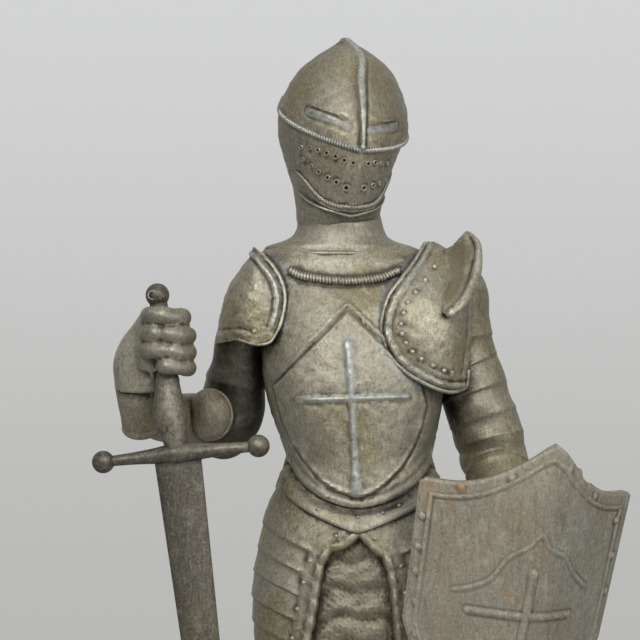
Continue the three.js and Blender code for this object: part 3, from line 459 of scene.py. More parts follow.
def ball(centre: Sequence[float], half: Sequence[float], turn: float = 0.0,
         around: int = 24, rows: int = 16) -> Shell:
    """Ellipsoid about a centre.

    Args:
        centre: its middle.
        half: its half sizes along x, y and z.
        turn: how far it is turned about the upright.
        around: faces round it.
        rows: faces from pole to pole.

    Returns:
        The ball.
    """
    shell = bmesh.new()
    bmesh.ops.create_uvsphere(shell, u_segments=around, v_segments=rows, radius=1.0)
    bmesh.ops.scale(shell, vec=Vector(half), verts=shell.verts)
    cos, sin = math.cos(turn), math.sin(turn)
    for vertex in shell.verts:
        x, y, z = vertex.co
        vertex.co = (centre[0] + x * cos - y * sin, centre[1] + x * sin + y * cos, centre[2] + z)
    return shell


def studs(centres: Iterable[Sequence[float]], radius: float) -> Shell:
    """Small domed rivets that don't touch, as one mesh."""
    shell = bmesh.new()
    for centre in centres:
        made = bmesh.ops.create_icosphere(shell, subdivisions=2, radius=radius)
        bmesh.ops.translate(shell, vec=Vector(centre), verts=made["verts"])
    return shell


def wall(outline: Rows, from_y: float, to_y: float) -> Shell:
    """Upright block over an outline.

    Args:
        outline: its corners as x and height.
        from_y: where its back face lies.
        to_y: where its front face lies.

    Returns:
        The block.
    """
    shell = bmesh.new()
    face = shell.faces.new([shell.verts.new((x, from_y, z)) for x, z in outline])
    made = bmesh.ops.extrude_face_region(shell, geom=[face])
    moved = [item for item in made["geom"] if isinstance(item, bmesh.types.BMVert)]
    bmesh.ops.translate(shell, vec=Vector((0, to_y - from_y, 0)), verts=moved)
    bmesh.ops.recalc_face_normals(shell, faces=shell.faces)
    return shell


def unevenness(points: Array, size: float) -> Array:
    """Gentle unevenness of a cast skin, the same at every run.

    Args:
        points: the places.
        size: its greatest height.

    Returns:
        The lift at each place.
    """
    x, y, z = points[..., 0], points[..., 1], points[..., 2]
    wave = np.sin(0.71 * x + 1.3 * np.sin(0.53 * z)) * np.sin(0.83 * z + 1.1 * np.sin(0.61 * y + 0.4))
    fine = np.sin(1.9 * x + 2.1 * np.sin(1.3 * z + 0.7)) * np.sin(2.3 * z + 1.7 * np.sin(1.7 * x))
    return size * (0.65 * wave + 0.35 * fine)


# Castings


def solid_object(name: str, shell: Shell) -> Solid:
    """Turns a shell into an object of the scene."""
    mesh = bpy.data.meshes.new(name)
    shell.to_mesh(mesh)
    shell.free()
    made = bpy.data.objects.new(name, mesh)
    bpy.context.scene.collection.objects.link(made)
    return made


def settled(solid: Solid) -> None:
    """Works a solid's modifiers into a new mesh and takes them off."""
    graph = bpy.context.evaluated_depsgraph_get()
    mesh = bpy.data.meshes.new_from_object(solid.evaluated_get(graph))
    solid.modifiers.clear()
    spent, solid.data = solid.data, mesh
    bpy.data.meshes.remove(spent)


def combine(first: Solid, second: Solid, how: Join) -> Solid:
    """Joins or cuts one solid with another, which is used up.

    Args:
        first: the solid that is kept.
        second: the other one.
        how: what is done with it.

    Returns:
        The first object with its new mesh.
    """
    modifier = first.modifiers.new("joint", "BOOLEAN")
    modifier.operation = how.value
    modifier.solver = "MANIFOLD"
    modifier.object = second
    settled(first)
    spent = second.data
    bpy.data.objects.remove(second)
    bpy.data.meshes.remove(spent)
    return first


def united(name: str, shells: Iterable[Shell]) -> Solid:
    """Joins closed shells into one solid, pair by pair."""
    solids = [solid_object(f"{name}_{i}", shell) for i, shell in enumerate(shells)]
    while len(solids) > 1:
        pairs = [solids[i:i + 2] for i in range(0, len(solids), 2)]
        solids = [combine(*pair, Join.ADD) if len(pair) == 2 else pair[0] for pair in pairs]
    solids[0].name = name
    return solids[0]


def kept_within(name: str, shell: Shell, block: Shell) -> Solid:
    """The part of a shell that lies inside a block."""
    return combine(solid_object(name, shell), solid_object("block", block), Join.KEEP)


def softened(solid: Solid, voxel: float, rounds: int) -> Solid:
    """Remeshes a solid evenly and softens its creases.

    Args:
        solid: the solid.
        voxel: size of its new faces.
        rounds: how many times it is smoothed.

    Returns:
        The same object with its new mesh.
    """
    remesh = solid.modifiers.new("even", "REMESH")
    remesh.mode = "VOXEL"
    remesh.voxel_size = voxel
    settled(solid)
    shell = bmesh.new()
    shell.from_mesh(solid.data)
    for _ in range(rounds):
        bmesh.ops.smooth_vert(
            shell, verts=shell.verts, factor=0.5, use_axis_x=True, use_axis_y=True, use_axis_z=True)
    shell.to_mesh(solid.data)
    shell.free()
    return solid


def thinned(solid: Solid, limit: int) -> Solid:
    """Merges the flattest faces of a solid until it has few enough triangles.

    Args:
        solid: the solid.
        limit: most triangles that it may have.

    Returns:
        The same object with its new mesh.
    """
    solid.data.calc_loop_triangles()
    count = len(solid.data.loop_triangles)
    log.info("%s: %d triangles, at most %d kept", solid.name, count, limit)
    if count > limit:
        collapse = solid.modifiers.new("thin", "DECIMATE")
        collapse.ratio = limit / count
        collapse.use_collapse_triangulate = True
        settled(solid)
    return solid


# Painted layers


def write_layer(mesh: Mesh, name: str, values: Array) -> None:
    """Writes one number for each vertex of a mesh."""
    layer = mesh.attributes.new(name, "FLOAT", "POINT")
    layer.data.foreach_set("value", np.asarray(values, np.float32))


def vertex_places(mesh: Mesh) -> Array:
    """Places of a mesh's vertices."""
    flat = np.zeros(len(mesh.vertices) * 3)
    mesh.vertices.foreach_get("co", flat)
    return flat.reshape(-1, 3)


def spots(points: Array, centres: Rows) -> Array:
    """Soft spots about places given as x, y, z, size and strength."""
    out = np.zeros(len(points))
    for x, y, z, size, strength in centres:
        away = np.linalg.norm(points - np.array([x, y, z]), axis=1)
        out = np.maximum(out, strength * np.exp(-((away / size) ** 2)))
    return out


def merged(parts: Iterable[Layers]) -> Layers:
    """The strongest of the layers of each name."""
    out: Layers = {}
    for layers in parts:
        for name, values in layers.items():
            out[name] = np.maximum(out[name], values) if name in out else values
    return out


# Trunk


@dataclass
class Trunk:
    """Breastplate with its raised panel and cross, and the fauld below it."""

    stations: Rows = (
        (224, 2.4, 28.6, 24.6, 18.6), (234, 2.8, 25.5, 25, 16.4), (243.5, 3, 23.7, 24.4, 15.4),
        (252, 2.4, 26.6, 25.2, 17.2), (261, 1.7, 29, 26, 19), (271, 1, 30.2, 26, 20.4),
        (283, 0.4, 30.2, 24.4, 20.8), (293, 0, 30.2, 21.2, 20.3), (301, -0.7, 30.6, 17.5, 18.8),
        (306, -1.2, 30.6, 15.2, 17), (310.5, -2, 28.4, 14, 14.6), (313.4, -3, 22, 12.6, 12),
    )
    fauld_stations: Rows = (
        (212, 2.4, 32.6, 24.2, 23), (216, 2.4, 32, 24, 22.4), (222, 2.5, 31, 23.6, 21.8),
        (230, 2.8, 28.4, 22.8, 20), (238, 3, 24.8, 23, 17.4), (243.5, 3, 23.2, 22, 15.6),
    )
    power: float = 2.3
    lower_edge: Rows = (
        (-34, 250), (-26, 246.5), (-20, 241), (-16.7, 236), (-11.7, 231.8), (-5, 228.6),
        (1.8, 227.2), (8.5, 228.2), (15, 230.6), (21.7, 235), (27.5, 241.5), (33, 248), (40, 250),
    )
    panel: Rows = (
        (-1, 291.5), (15.2, 275.5), (23.2, 267.2), (24.6, 260.5), (23.2, 253.5), (20.6, 247),
        (16.6, 240.4), (11.6, 235.4), (6.6, 232), (2.2, 230.4), (-4.6, 232.8), (-9.8, 236.3),
        (-14.8, 242), (-19.2, 248.6), (-22.5, 255.4), (-25.2, 266.4),
    )
    panel_lift: float = 0.6
    cross_lift: float = 0.9
    cross_head: tuple[float, float] = (-0.7, 280.6)
    cross_foot: tuple[float, float] = (1.7, 233.8)
    cross_arms: Rows = ((-16.6, 262.4), (18, 263.6))
    cross_narrow: float = 0.9
    cross_end: float = 1.7
    beam_end: float = 1.25
    fauld_drop: float = 4.9
    fauld_point: float = 3.1
    fauld_rivets: Rows = ((-10.7, 226.7), (2.3, 224.3), (10.3, 225.7), (15.7, 228))
    neck_roll: Rows = (
        (-20.6, 305), (-16.7, 303.1), (-10, 301.8), (-1.7, 301.1), (5, 301.4), (11.7, 302.7), (16.8, 304.8),
    )
    neck_roll_radius: float = 1.6
    top: float = 313.4
    rivet_radius: float = 0.75
    silver_upright: tuple[float, float] = (1.2, 2.1)
    silver_beam: tuple[float, float] = (1.15, 1.5)

    def edge_at(self, angle: Array) -> Array:
        """Height of the breastplate's lower edge at an angle round the trunk."""
        height = np.full(np.shape(angle), 238.0)
        for _ in range(3):
            x = round_place(self.stations, self.power, angle, height)[..., 0]
            (height,) = through(self.lower_edge, x)
        return np.where(np.sin(angle) > 0, height, 249.0 - 1.5 * np.abs(np.cos(angle)))

    def front_relief(self, points: Array) -> Array:
        """Lift of the panel, its edge lines and the cross at places on the front."""
        x, z = points[:, 0], points[:, 2]
        inside = depth_inside(x, z, self.panel)
        lift = self.panel_lift * ease(inside + 0.2, 0.6)
        lift = lift + 0.8 * ease(inside, 13)
        roof = ease(z - 262, 6)
        lift = lift + groove(inside + 0.7, 0.4, 0.36)
        lift = lift + bead(inside - 0.8, 0.6, 0.22)
        lift = lift + bead(inside + 2.0, 0.7, 0.22) * (0.25 + 0.75 * roof)
        lift = lift + groove(inside + 3.1, 0.4, 0.2) * roof * (x > 0)
        upright = flared_bar(x, z, self.cross_head, self.cross_foot, self.cross_narrow, self.cross_end)
        beam = flared_bar(x, z, *self.cross_arms, self.cross_narrow, self.beam_end)
        near = np.minimum(
            distance_to_line(x, z, (self.cross_head, self.cross_foot)),
            distance_to_line(x, z, self.cross_arms))
        lift = lift + groove(near, 2.8, 0.3)
        return lift + self.cross_lift * np.maximum(upright, beam)

    def breastplate(self) -> Shell:
        """Shell of the breast and back plates."""

        def place(u: Array, v: Array) -> Array:
            """Point at a share round and a share up."""
            angle = turned(u, 0.7, 0.42)
            low = self.edge_at(angle)
            height = low + (self.top - low) * v
            bare = round_place(self.stations, self.power, angle, height)
            lift = np.where(np.sin(angle) > 0, self.front_relief(bare), 0.0)
            above = height - low
            lift = lift + bead(above - 1.2, 1.3, 0.5) + groove(above - 2.9, 0.6, 0.12)
            lift = lift + bead(above - 4.8, 1.2, 0.22) + unevenness(bare, 0.2)
            return round_place(self.stations, self.power, angle, height, lift)

        return closed_shell(190, 150, place)

    def fauld(self) -> Shell:
        """Plate below the breast, seen as a hollow band with a rolled lower edge."""

        def place(u: Array, v: Array) -> Array:
            """Point at a share round and a share up."""
            angle = turned(u, 0.66, 0.2)
            edge = self.edge_at(angle)
            across = round_place(self.fauld_stations, self.power, angle, edge)[:, 0]
            ahead = np.sin(angle) > 0
            low = edge - np.where(ahead, self.fauld_drop, 15)
            low = low - self.fauld_point * np.exp(-((np.abs(across - 2.5) / 8) ** 1.3)) * ahead
            height = low + (edge + 6 - low) * v
            above = height - low
            rise = ease(edge - 0.2 - height, 2.8) - 0.25 * ease(edge - 8 - height, 6)
            facing = np.sin(angle)
            lift = 2.6 * rise - 1.6 + np.where(facing > 0, 1.8 * facing, -1.1 * facing)
            lift = lift + bead(above - 0.8, 0.9, 0.35)
            return round_place(self.fauld_stations, self.power, angle, height, lift)

        return closed_shell(140, 26, place)

    def neck_rope(self) -> Shell:
        """Twisted roll at the neck opening."""
        line = smooth_path(self.neck_roll, 0.2)
        path = on_front(self.stations, self.power, line[:, 0], line[:, 1], 0.3)
        return rope(path, self.neck_roll_radius, 1.05, UP, 0.3, 10, 1.2)

    def rivets(self) -> Shell:
        """Rivets along the fauld."""
        x, height = np.asarray(self.fauld_rivets).T
        return studs(on_front(self.fauld_stations, self.power, x, height, 2.5), self.rivet_radius)

    def shells(self) -> list[Shell]:
        """All shells of the trunk."""
        return [self.breastplate(), self.fauld(), self.neck_rope(), self.rivets()]

    def painted(self, points: Array) -> Layers:
        """Silvered cross and the shadow under the breastplate's edge, at places of the skin."""
        x, y, z = points.T
        upright = flared_bar(x, z, self.cross_head, self.cross_foot, *self.silver_upright)
        beam = flared_bar(x, z, *self.cross_arms, *self.silver_beam)
        cross = np.maximum(upright, beam) ** 0.5 * (y < -12)
        (rim,) = through(self.lower_edge, x)
        under = ease(2.4 - np.abs(z - rim + 2.6), 2) * (y < -8) * (np.abs(x - 2.5) < 24)
        return {"silver": 0.65 * cross, "shade_and_dark_tone": 0.3 * under}


# Skirt


@dataclass
class Skirt:
    """Tassets of overlapping plates with a mail skirt showing through their arch."""

    stations: Rows = (
        (236, 2.6, 25.6, 22, 18), (226, 2.6, 30, 24, 21.4), (216, 2.6, 32.4, 25.2, 22.8),
        (208, 2.6, 34, 25.8, 23.6), (196, 2.6, 35, 26, 24), (182, 2.6, 34.2, 25.6, 23.8),
        (163, 2.6, 32, 25, 23), (150, 2.6, 31.4, 24.6, 22.6),
    )
    power: float = 2.3
    plate_edges: tuple[float, ...] = (236, 220.5, 212.6, 205, 196.4, 188, 179.4, 171, 162.6)
    slant: float = 15
    slant_start: float = 236
    slant_full: float = 222
    step: float = 1.15
    arch: Rows = (
        (-18, 140), (-15, 181), (-12.3, 195.3), (-11, 203.7), (-9.3, 210.3), (-6.7, 213.7),
        (-1.7, 215.3), (2.3, 218.7), (8.2, 213.6), (11.4, 211.3), (12.9, 207), (14, 202),
        (14.8, 195.3), (16, 182), (19, 140),
    )
    border_radius: float = 1.85
    border_pitch: float = 5.6
    strip: float = 4.6
    mail_stations: Rows = (
        (166, 2.6, 30, 20, 20), (186, 2.6, 32, 21, 21), (204, 2.6, 32.4, 22, 22),
        (222, 2.6, 29, 22, 20.5),
    )
    mail_power: float = 2.2
    mail_ring: float = 2.1
    fold_pitch: float = 9.2
    fold_depth: float = 0.5
    rivet_spots: Rows = (
        (-4.7, 218.2), (-13.3, 210), (-15.3, 203), (-17.3, 194.3), (-19, 184.7),
        (7.7, 217.3), (16.3, 208.3), (17.6, 199.6), (18.6, 190.6), (19.6, 181.6),
    )
    rivet_radius: float = 0.85
    mail_low: float = 166
    mail_high: float = 222

    def tassets(self) -> Solid:
        """Plates of the tassets, cut by the arch."""
        edges = np.asarray(self.plate_edges)[::-1]

        def place(u: Array, v: Array) -> Array:
            """Point at a share round and a share up, its rows along the slanted edges."""
            angle = turned(u, 0.62, 0.1)
            fallen = edges[0] + (edges[-1] - edges[0]) * v
            outward = np.abs(np.cos(angle)) ** (2 / self.power)
            share = ease((self.slant_start - fallen) / (self.slant_start - self.slant_full))
            share = share * np.where(np.sin(angle) > 0, 1, 0.35)
            height = fallen - self.slant * share * (1 - outward)
            plate = np.clip(np.searchsorted(edges, fallen, side="right"), 1, len(edges) - 1)
            low, high = edges[plate - 1], edges[plate]
            t = (fallen - low) / (high - low)
            lift = self.step * (1 - t) ** 1.4 + bead(fallen - low - 0.8, 0.8, 0.28)
            lift = lift * (0.25 + 0.75 * ease(fallen - low, 0.5)) * (1 - 0.6 * outward**2)
            bare = round_place(self.stations, self.power, angle, height)
            front = np.where(np.sin(angle) > 0, 1.0, 0.0)
            near = distance_to_line(bare[:, 0], bare[:, 2], self.arch)
            flat = ease(near - self.strip, 0.8) * front + (1 - front)
            lift = lift * flat + (1 - flat) * 0.9 + groove(near - self.strip - 0.3, 0.5, 0.4) * front
            return round_place(self.stations, self.power, angle, height, lift + unevenness(bare, 0.2))

        body = solid_object("tassets", closed_shell(170, 120, place, dish=9))
        line = smooth_path(self.arch, 1.6)
        return combine(body, solid_object("arch", wall(line, 0, -60)), Join.CUT)

    def border(self) -> Shell:
        """Beaded border of the arch."""
        line = smooth_path(self.arch[1:-1], 0.5)
        path = on_front(self.stations, self.power, line[:, 0], line[:, 1] + 0.4, -0.3)
        along = np.arange(len(path)) * 0.5
        swell = 0.74 + 0.26 * np.abs(np.sin(np.pi * along / self.border_pitch)) ** 0.7
        swell = swell * (1 + 0.04 * np.sin(0.9 * along))
        return tube(path, self.border_radius * swell, FORWARD, 10)

    def mail(self) -> Shell:
        """Mail skirt with its rings and sagging folds."""

        def place(u: Array, v: Array) -> Array:
            """Point at a share round and a share up."""
            angle = turned(u, 0.8, 0.62)
            height = self.mail_low + (self.mail_high - self.mail_low) * v
            bare = round_place(self.mail_stations, self.mail_power, angle, height)
            x = bare[:, 0] - 1.5
            sag = height + 0.01 * x * x + 0.9 * np.sin(x * 0.42 + 0.1 * height)
            fold = np.sin(2 * np.pi * (sag + 0.8 * np.sin(0.23 * sag)) / self.fold_pitch)
            lift = self.fold_depth * (fold + 0.25 * np.sin(4 * np.pi * sag / self.fold_pitch + 0.6))
            wander = 0.8 * np.sin(0.9 * x + 0.7 * height) + 0.6 * np.sin(1.7 * height - 1.1 * x)
            one = np.sin(2 * np.pi * (x + wander) / self.mail_ring)
            other = np.sin(2 * np.pi * (sag - wander) / self.mail_ring)
            uneven = 0.6 + 0.4 * np.sin(1.3 * x + 2 * np.sin(0.9 * height)) * np.sin(1.7 * height + x)
            lift = lift + 0.11 * one * other * uneven + unevenness(bare, 0.25)
            return round_place(self.mail_stations, self.mail_power, angle, height, lift)

        return closed_shell(230, 160, place)

    def rivets(self) -> Shell:
        """Rivets along the tassets' inner edges."""
        x, height = np.asarray(self.rivet_spots).T
        return studs(on_front(self.stations, self.power, x, height, 0.5), self.rivet_radius)

    def painted(self, points: Array) -> Layers:
        """Brown calm mail, the arch's dark outline and the calm plates, at places of the skin."""
        x, y, z = points.T
        front = y < 0
        within = depth_inside(x, z, self.arch)
        mail = ease(within - 0.6, 0.8) * front * (z < 219)
        border = ease(2.6 - np.abs(within), 0.6) * front * (z < 223)
        outline = ease(0.7 - np.abs(within + 2.1), 0.4) * front * (z < 219)
        plates = front * (z > 160) * (z < 236)
        calm = np.maximum.reduce([0.85 * mail, 0.9 * border, 0.35 * plates])
        return {"brown": 0.42 * mail, "shade_and_dark_tone": 0.4 * outline, "calm": calm}


# Helmet


@dataclass
class Helmet:
    """Closed helmet with its keel, roped edges, sights and breaths, and the gorget below it."""

    turn: float = math.radians(15)
    foot: Point = (-4, 1, 323.7)
    lean: float = 0.045
    stations: Rows = (
        (318, 12.8, 12, 12.2, 2), (321, 13.7, 14.2, 13.8, 2), (324.6, 13.9, 17.6, 15.4, 2),
        (328.7, 14.4, 20, 16.8, 1.9), (333.7, 15.6, 22.4, 19, 1.8),
        (338.7, 17.3, 24.4, 21.2, 1.8), (343.7, 19.1, 25.6, 23.2, 1.85),
        (349.7, 20.9, 26, 24.8, 1.95), (357.7, 21, 24.6, 25.2, 2), (363.3, 19.5, 22.4, 23.8, 2),
        (368.7, 17, 19.4, 21, 2), (372.7, 14, 16, 17.4, 2), (376.6, 9.2, 11.4, 12, 2),
        (379.2, 5.2, 7, 7.4, 2), (381, 2, 3.4, 3.4, 2), (382.4, 0.9, 1.2, 1.2, 2),
    )
    peak: float = 382.4
    keel_half: tuple[float, float] = (0.9, 2.7)
    keel_lift: float = 1.25
    keel_foot: float = 344.5
    brow: float = 363.3
    visor_rope: float = 1.05
    bevor_rope: float = 1.0
    visor_plate: float = 0.9
    sights: Rows = ((-1, 0.2, 0.78, 0.55, 2.5), (1, 0.11, 0.57, 0.5, 2.4))
    breaths_seen: Rows = (
        (-16.3, 345.1, 0.75), (-13.5, 344.9, 0.8), (-10.8, 343.9, 0.9), (-7.9, 342.9, 0.95),
        (-5, 341.7, 0.95), (-2.1, 340.4, 0.95), (0.8, 339.6, 0.95), (5.8, 339.4, 0.95), (8.2, 339.8, 0.9),
        (10.4, 339.8, 0.85), (12.4, 339.9, 0.8), (14.3, 340.4, 0.7),
        (-15.7, 341.2, 0.75), (-12.9, 338.9, 0.8), (-10.5, 336.9, 0.9), (-7.6, 335, 0.95),
        (-4.7, 333.4, 1.0), (-1.4, 331.6, 1.2), (4.4, 331.6, 1.1), (7.5, 332.5, 0.95), (9.8, 333.4, 0.9),
        (11.8, 334.6, 0.85),
    )
    neck_stations: Rows = (
        (302, -4, 20, 11, 13), (309.4, -4, 23, 13.4, 14), (310.6, -4, 24.4, 14.8, 14.8),
        (312, -4, 24.6, 15.1, 15), (313.2, -4, 23.4, 14.9, 14.8), (314, -3.9, 20.8, 14.6, 14.4),
        (314.9, -3.7, 18.2, 14.3, 14), (316, -3.5, 16.3, 14, 13.6), (318, -3.3, 14.9, 13.7, 13.2),
        (321, -3.4, 14.1, 13.6, 12.8), (326, -4, 13.6, 13, 12.2),
    )
    neck_depth: float = 1
    ring_height: float = 311.4
    ring_half: tuple[float, float] = (24.2, 14.9)
    ring_radius: float = 0.7

    def place(self, height: Array, angle: Array, lift: Array | float = 0.0) -> Array:
        """Place on the helmet.

        Args:
            height: its height.
            angle: angle from the helmet's own front, positive to the shield side.
            lift: how far it is lifted off the shell.

        Returns:
            The points.
        """
        half, front, back, power = through(self.stations, height)
        side, ahead = np.abs(np.sin(angle)), np.abs(np.cos(angle))
        facing = np.cos(angle) > 0
        depth, curve = np.where(facing, front, back), np.where(facing, power, 2.0)
        radius = ((side / half) ** curve + (ahead / depth) ** curve) ** (-1 / curve) + lift
        x = self.foot[0] + self.lean * (height - self.foot[2]) + radius * np.sin(angle + self.turn)
        y = self.foot[1] - radius * np.cos(angle + self.turn)
        return np.stack([x, y, height + np.zeros_like(x)], axis=-1)

    def visor_edge(self, angle: Array) -> Array:
        """Height of the roped edge between visor and bevor."""
        round_ = np.minimum(np.abs(angle), 2.1)
        return 343.5 + 13.5 * (round_ / 1.83) ** 1.25 - 2.9 * np.sin(angle)

    def bevor_edge(self, angle: Array) -> Array:
        """Height of the roped edge under the bevor, which levels out round the side."""
        return 325.5 + 13.5 * (1 - np.exp(-(np.abs(angle) ** 3)))

    def keel_angle(self, height: Array) -> Array:
        """Angle of the keel, which swings to the shield side towards the tip."""
        return 0.2 * ease(height - 366, 15)

    def sight_line(self, angle: Array) -> Array:
        """Height of the sights' middle line."""
        return 351 + 6 * (np.abs(angle) - 0.18) - 2.9 * np.sin(angle)

    def chin_edge(self, angle: Array) -> Array:
        """Height of the plain band under the chin."""
        return 322.3 + 11.4 * (np.minimum(np.abs(angle), 1.75) / 1.75) ** 1.3

    def brow_edge(self, angle: Array) -> Array:
        """Height of the brow, kept clear of the visor's edge at the sides."""
        return np.maximum(self.brow, self.visor_edge(angle) + 5)

    def shell(self) -> Shell:
        """Shell whose rows follow the helmet's edge lines."""
        level: list[tuple[Callable[[Array], Array], float, int]] = [
            (lambda a: 0 * a + 318.4, 0.0, 4),
            (lambda a: self.chin_edge(a) - 0.9, 0.0, 3),
            (lambda a: self.chin_edge(a), 0.7, 3),
            (lambda a: self.chin_edge(a) + 0.9, -0.1, 2),
            (lambda a: self.bevor_edge(a) - 1.6, 0.55, 3),
            (lambda a: self.bevor_edge(a), 0.2, 3),
            (lambda a: self.bevor_edge(a) + 1.5, -0.1, 18),
            (lambda a: self.visor_edge(a) - 1.3, -0.1, 3),
            (lambda a: self.visor_edge(a) - 0.2, 0.2, 2),
            (lambda a: self.visor_edge(a) + 0.5, self.visor_plate, 3),
            (lambda a: self.visor_edge(a) + 2.2, self.visor_plate * 0.8, 10),
            (lambda a: (self.visor_edge(a) + self.brow_edge(a)) / 2, 0.2, 12),
            (self.brow_edge, 0.0, 18),
            (lambda a: 0 * a + 376.6, 0.0, 9),
            (lambda a: 0 * a + self.peak, 0.0, 1),
        ]
        counts = [count for _, _, count in level[:-1]]
        starts = np.concatenate([[0], np.cumsum(counts)])
        total = int(starts[-1])

        def place(u: Array, v: Array) -> Array:
            """Point at a share round and a share up."""
            s = 2 * u - 1
            angle = np.pi * np.sign(s) * (0.4 * np.abs(s) + 0.6 * np.abs(s) ** 1.6)
            row = np.rint(v * total)
            band = np.clip(np.searchsorted(starts, row, side="right") - 1, 0, len(counts) - 1)
            t = (row - starts[band]) / np.asarray(counts)[band]
            heights = np.stack([height(angle) for height, _, _ in level])
            lifts = np.asarray([lift for _, lift, _ in level])
            pick = np.arange(len(u))
            height = heights[band, pick] * (1 - t) + heights[band + 1, pick] * t
            end = np.where(band < 6, 1.55, 2.3)
            fade = ease(end - np.abs(angle), 0.4)
            share = ease(t)
            lift = (lifts[band] * (1 - share) + lifts[band + 1] * share) * fade
            return self.place(height, angle, lift + self.relief(angle, height))

        return closed_shell(210, total, place)

    def relief(self, angle: Array, height: Array) -> Array:
        """Lift of the keel, the sights' outlines, the bevor's ridge and the skin's unevenness."""
        spot = self.place(height, angle)
        reach = np.hypot(spot[:, 0] + 3, spot[:, 1] - 1)
        off = np.abs(np.sin(angle - self.keel_angle(height))) * reach
        rise = np.clip((height - self.keel_foot) / (self.peak - self.keel_foot), 0, 1)
        half = self.keel_half[0] + (self.keel_half[1] - self.keel_half[0]) * rise**1.2
        tall = self.keel_lift * (1 - 0.45 * ease(rise - 0.6, 0.4))
        flat = 1 - ease(off / half - 0.5, 0.5)
        keel = (0.5 * bead(off, half, 1.0) + 0.5 * flat) * tall
        keel = keel + groove(off - 1.3 * half - 0.2, 0.4, 0.22)
        ahead = np.cos(angle) > 0
        over = ease(height - self.visor_edge(angle), 1.2)
        lift = keel * np.where(ahead, over, 0.7 * ease(height - 340, 3))
        ventail = (height > self.bevor_edge(angle)) & (height < self.visor_edge(angle)) & ahead
        lift = lift + np.where(ventail, 0.8 * np.exp(-((off / 1.8) ** 2)), 0)
        for side, start, end, _, tall in self.sights:
            turned_by = side * angle
            past = np.maximum(np.maximum(start - turned_by, turned_by - end), 0) * reach
            away = np.hypot(past, height - self.sight_line(angle))
            lift = lift + groove(away - 0.55 * tall - 0.35, 0.5, 0.4) * ahead
        return lift + unevenness(spot, 0.2)

    def seen_at(self, x: float, height: float) -> float:
        """Angle at which the helmet's front has a given x at a height."""
        angles = np.linspace(-1.8, 1.3, 400)
        return float(np.interp(x, self.place(np.full(400, height), angles)[:, 0], angles))

    def edge_path(self, edge: Callable[[Array], Array], reach: float, lift: float) -> Array:
        """Evenly spaced places along one of the helmet's edges."""
        angle = np.linspace(-reach, reach, 160)
        return smooth_path(self.place(edge(angle), angle, lift), 0.17)

    def ropes(self) -> list[Shell]:
        """The two roped edges."""
        visor = self.edge_path(self.visor_edge, 2.05, 0.5)
        bevor = self.edge_path(self.bevor_edge, 1.7, -0.15)
        return [
            rope(visor, self.visor_rope, 0.95, UP, 0.5, fade=14),
            rope(bevor, self.bevor_rope, 0.95, UP, 0.3, fade=15),
        ]

    def breaths(self) -> tuple[Shell, Shell]:
        """Raised rings round the breaths, and the drilled holes that are cut in them."""
        rings, holes = bmesh.new(), bmesh.new()
        for x, height, size in self.breaths_seen:
            angle = self.seen_at(x, height)
            a = np.array([angle, angle + 0.01, angle])
            spot, beside, above = self.place(np.array([height, height, height + 0.1]), a, 0.0)
            right = (beside - spot) / np.linalg.norm(beside - spot)
            up = (above - spot) / np.linalg.norm(above - spot)
            out = np.cross(up, right)
            out = -out / np.linalg.norm(out)
            if np.dot(out, spot - np.array([self.foot[0], self.foot[1], height])) < 0:
                out = -out
            turn = np.linspace(0, 2 * np.pi, 15)
            ring = spot + size * 0.85 * (
                np.cos(turn)[:, None] * right + np.sin(turn)[:, None] * up) - 0.16 * out
            self.put(rings, tube(ring, 0.38 * size, out, 6, closed=True))
            hole = spot + np.linspace(-1.2, 1.2, 3)[:, None] * out
            self.put(holes, tube(hole, 0.45 * size, up, 10))
        return rings, holes

    @staticmethod
    def put(into: Shell, shell: Shell) -> None:
        """Adds a shell to another mesh."""
        mesh = bpy.data.meshes.new("spare")
        shell.to_mesh(mesh)
        shell.free()
        into.from_mesh(mesh)
        bpy.data.meshes.remove(mesh)

    def sight_bars(self) -> list[Shell]:
        """The flat raised bars of the sights with the thin ridge above each."""
        shells = []
        for side, start, end, deep, tall in self.sights:
            angle = side * np.linspace(start, end, 26)
            line = self.sight_line(angle)
            taper = np.sin(np.pi * np.linspace(0.06, 0.94, 26)) ** (0.22 if side < 0 else 0.6)
            shells.append(tube(self.place(line, angle, -0.2), deep * taper, UP, 12, flat=tall))
            ridge = self.place(line + 2.5, angle, -0.12)
            shells.append(tube(ridge[5:-2], 0.38 * taper[5:-2], UP, 6))
        return shells

    def gorget(self) -> list[Shell]:
        """Neck and the rolled ring at its foot."""

        def place(u: Array, v: Array) -> Array:
            """Point at a share round and a share up."""
            height = 302 + (326 - 302) * v
            angle = 2 * np.pi * u
            points = round_place(self.neck_stations, 2, angle, height)
            points[:, 1] += self.neck_depth
            return points

        angle = np.linspace(0, 2 * np.pi, 81)
        drop = np.maximum(0, np.sin(angle))
        ring = np.stack([
            self.neck_stations[0][1] + self.ring_half[0] * np.cos(angle),
            self.neck_depth - self.ring_half[1] * np.sin(angle),
            self.ring_height - drop,
        ], axis=-1)
        return [closed_shell(90, 60, place), tube(ring, self.ring_radius, UP, 10, closed=True)]

    def knot(self) -> Shell:
        """Small knob where the keel meets the visor's rope."""
        spot = self.place(np.array([344.6]), np.array([0.0]), 1.2)[0]
        return ball(spot, (1.05, 0.95, 1.1), self.turn, 12, 8)

    def build(self) -> Solid:
        """Joins the helmet and cuts its breaths."""
        rings, holes = self.breaths()
        shells = [self.shell(), *self.ropes(), rings, *self.sight_bars(), self.knot(), *self.gorget()]
        return combine(united("helmet", shells), solid_object("holes", holes), Join.CUT)

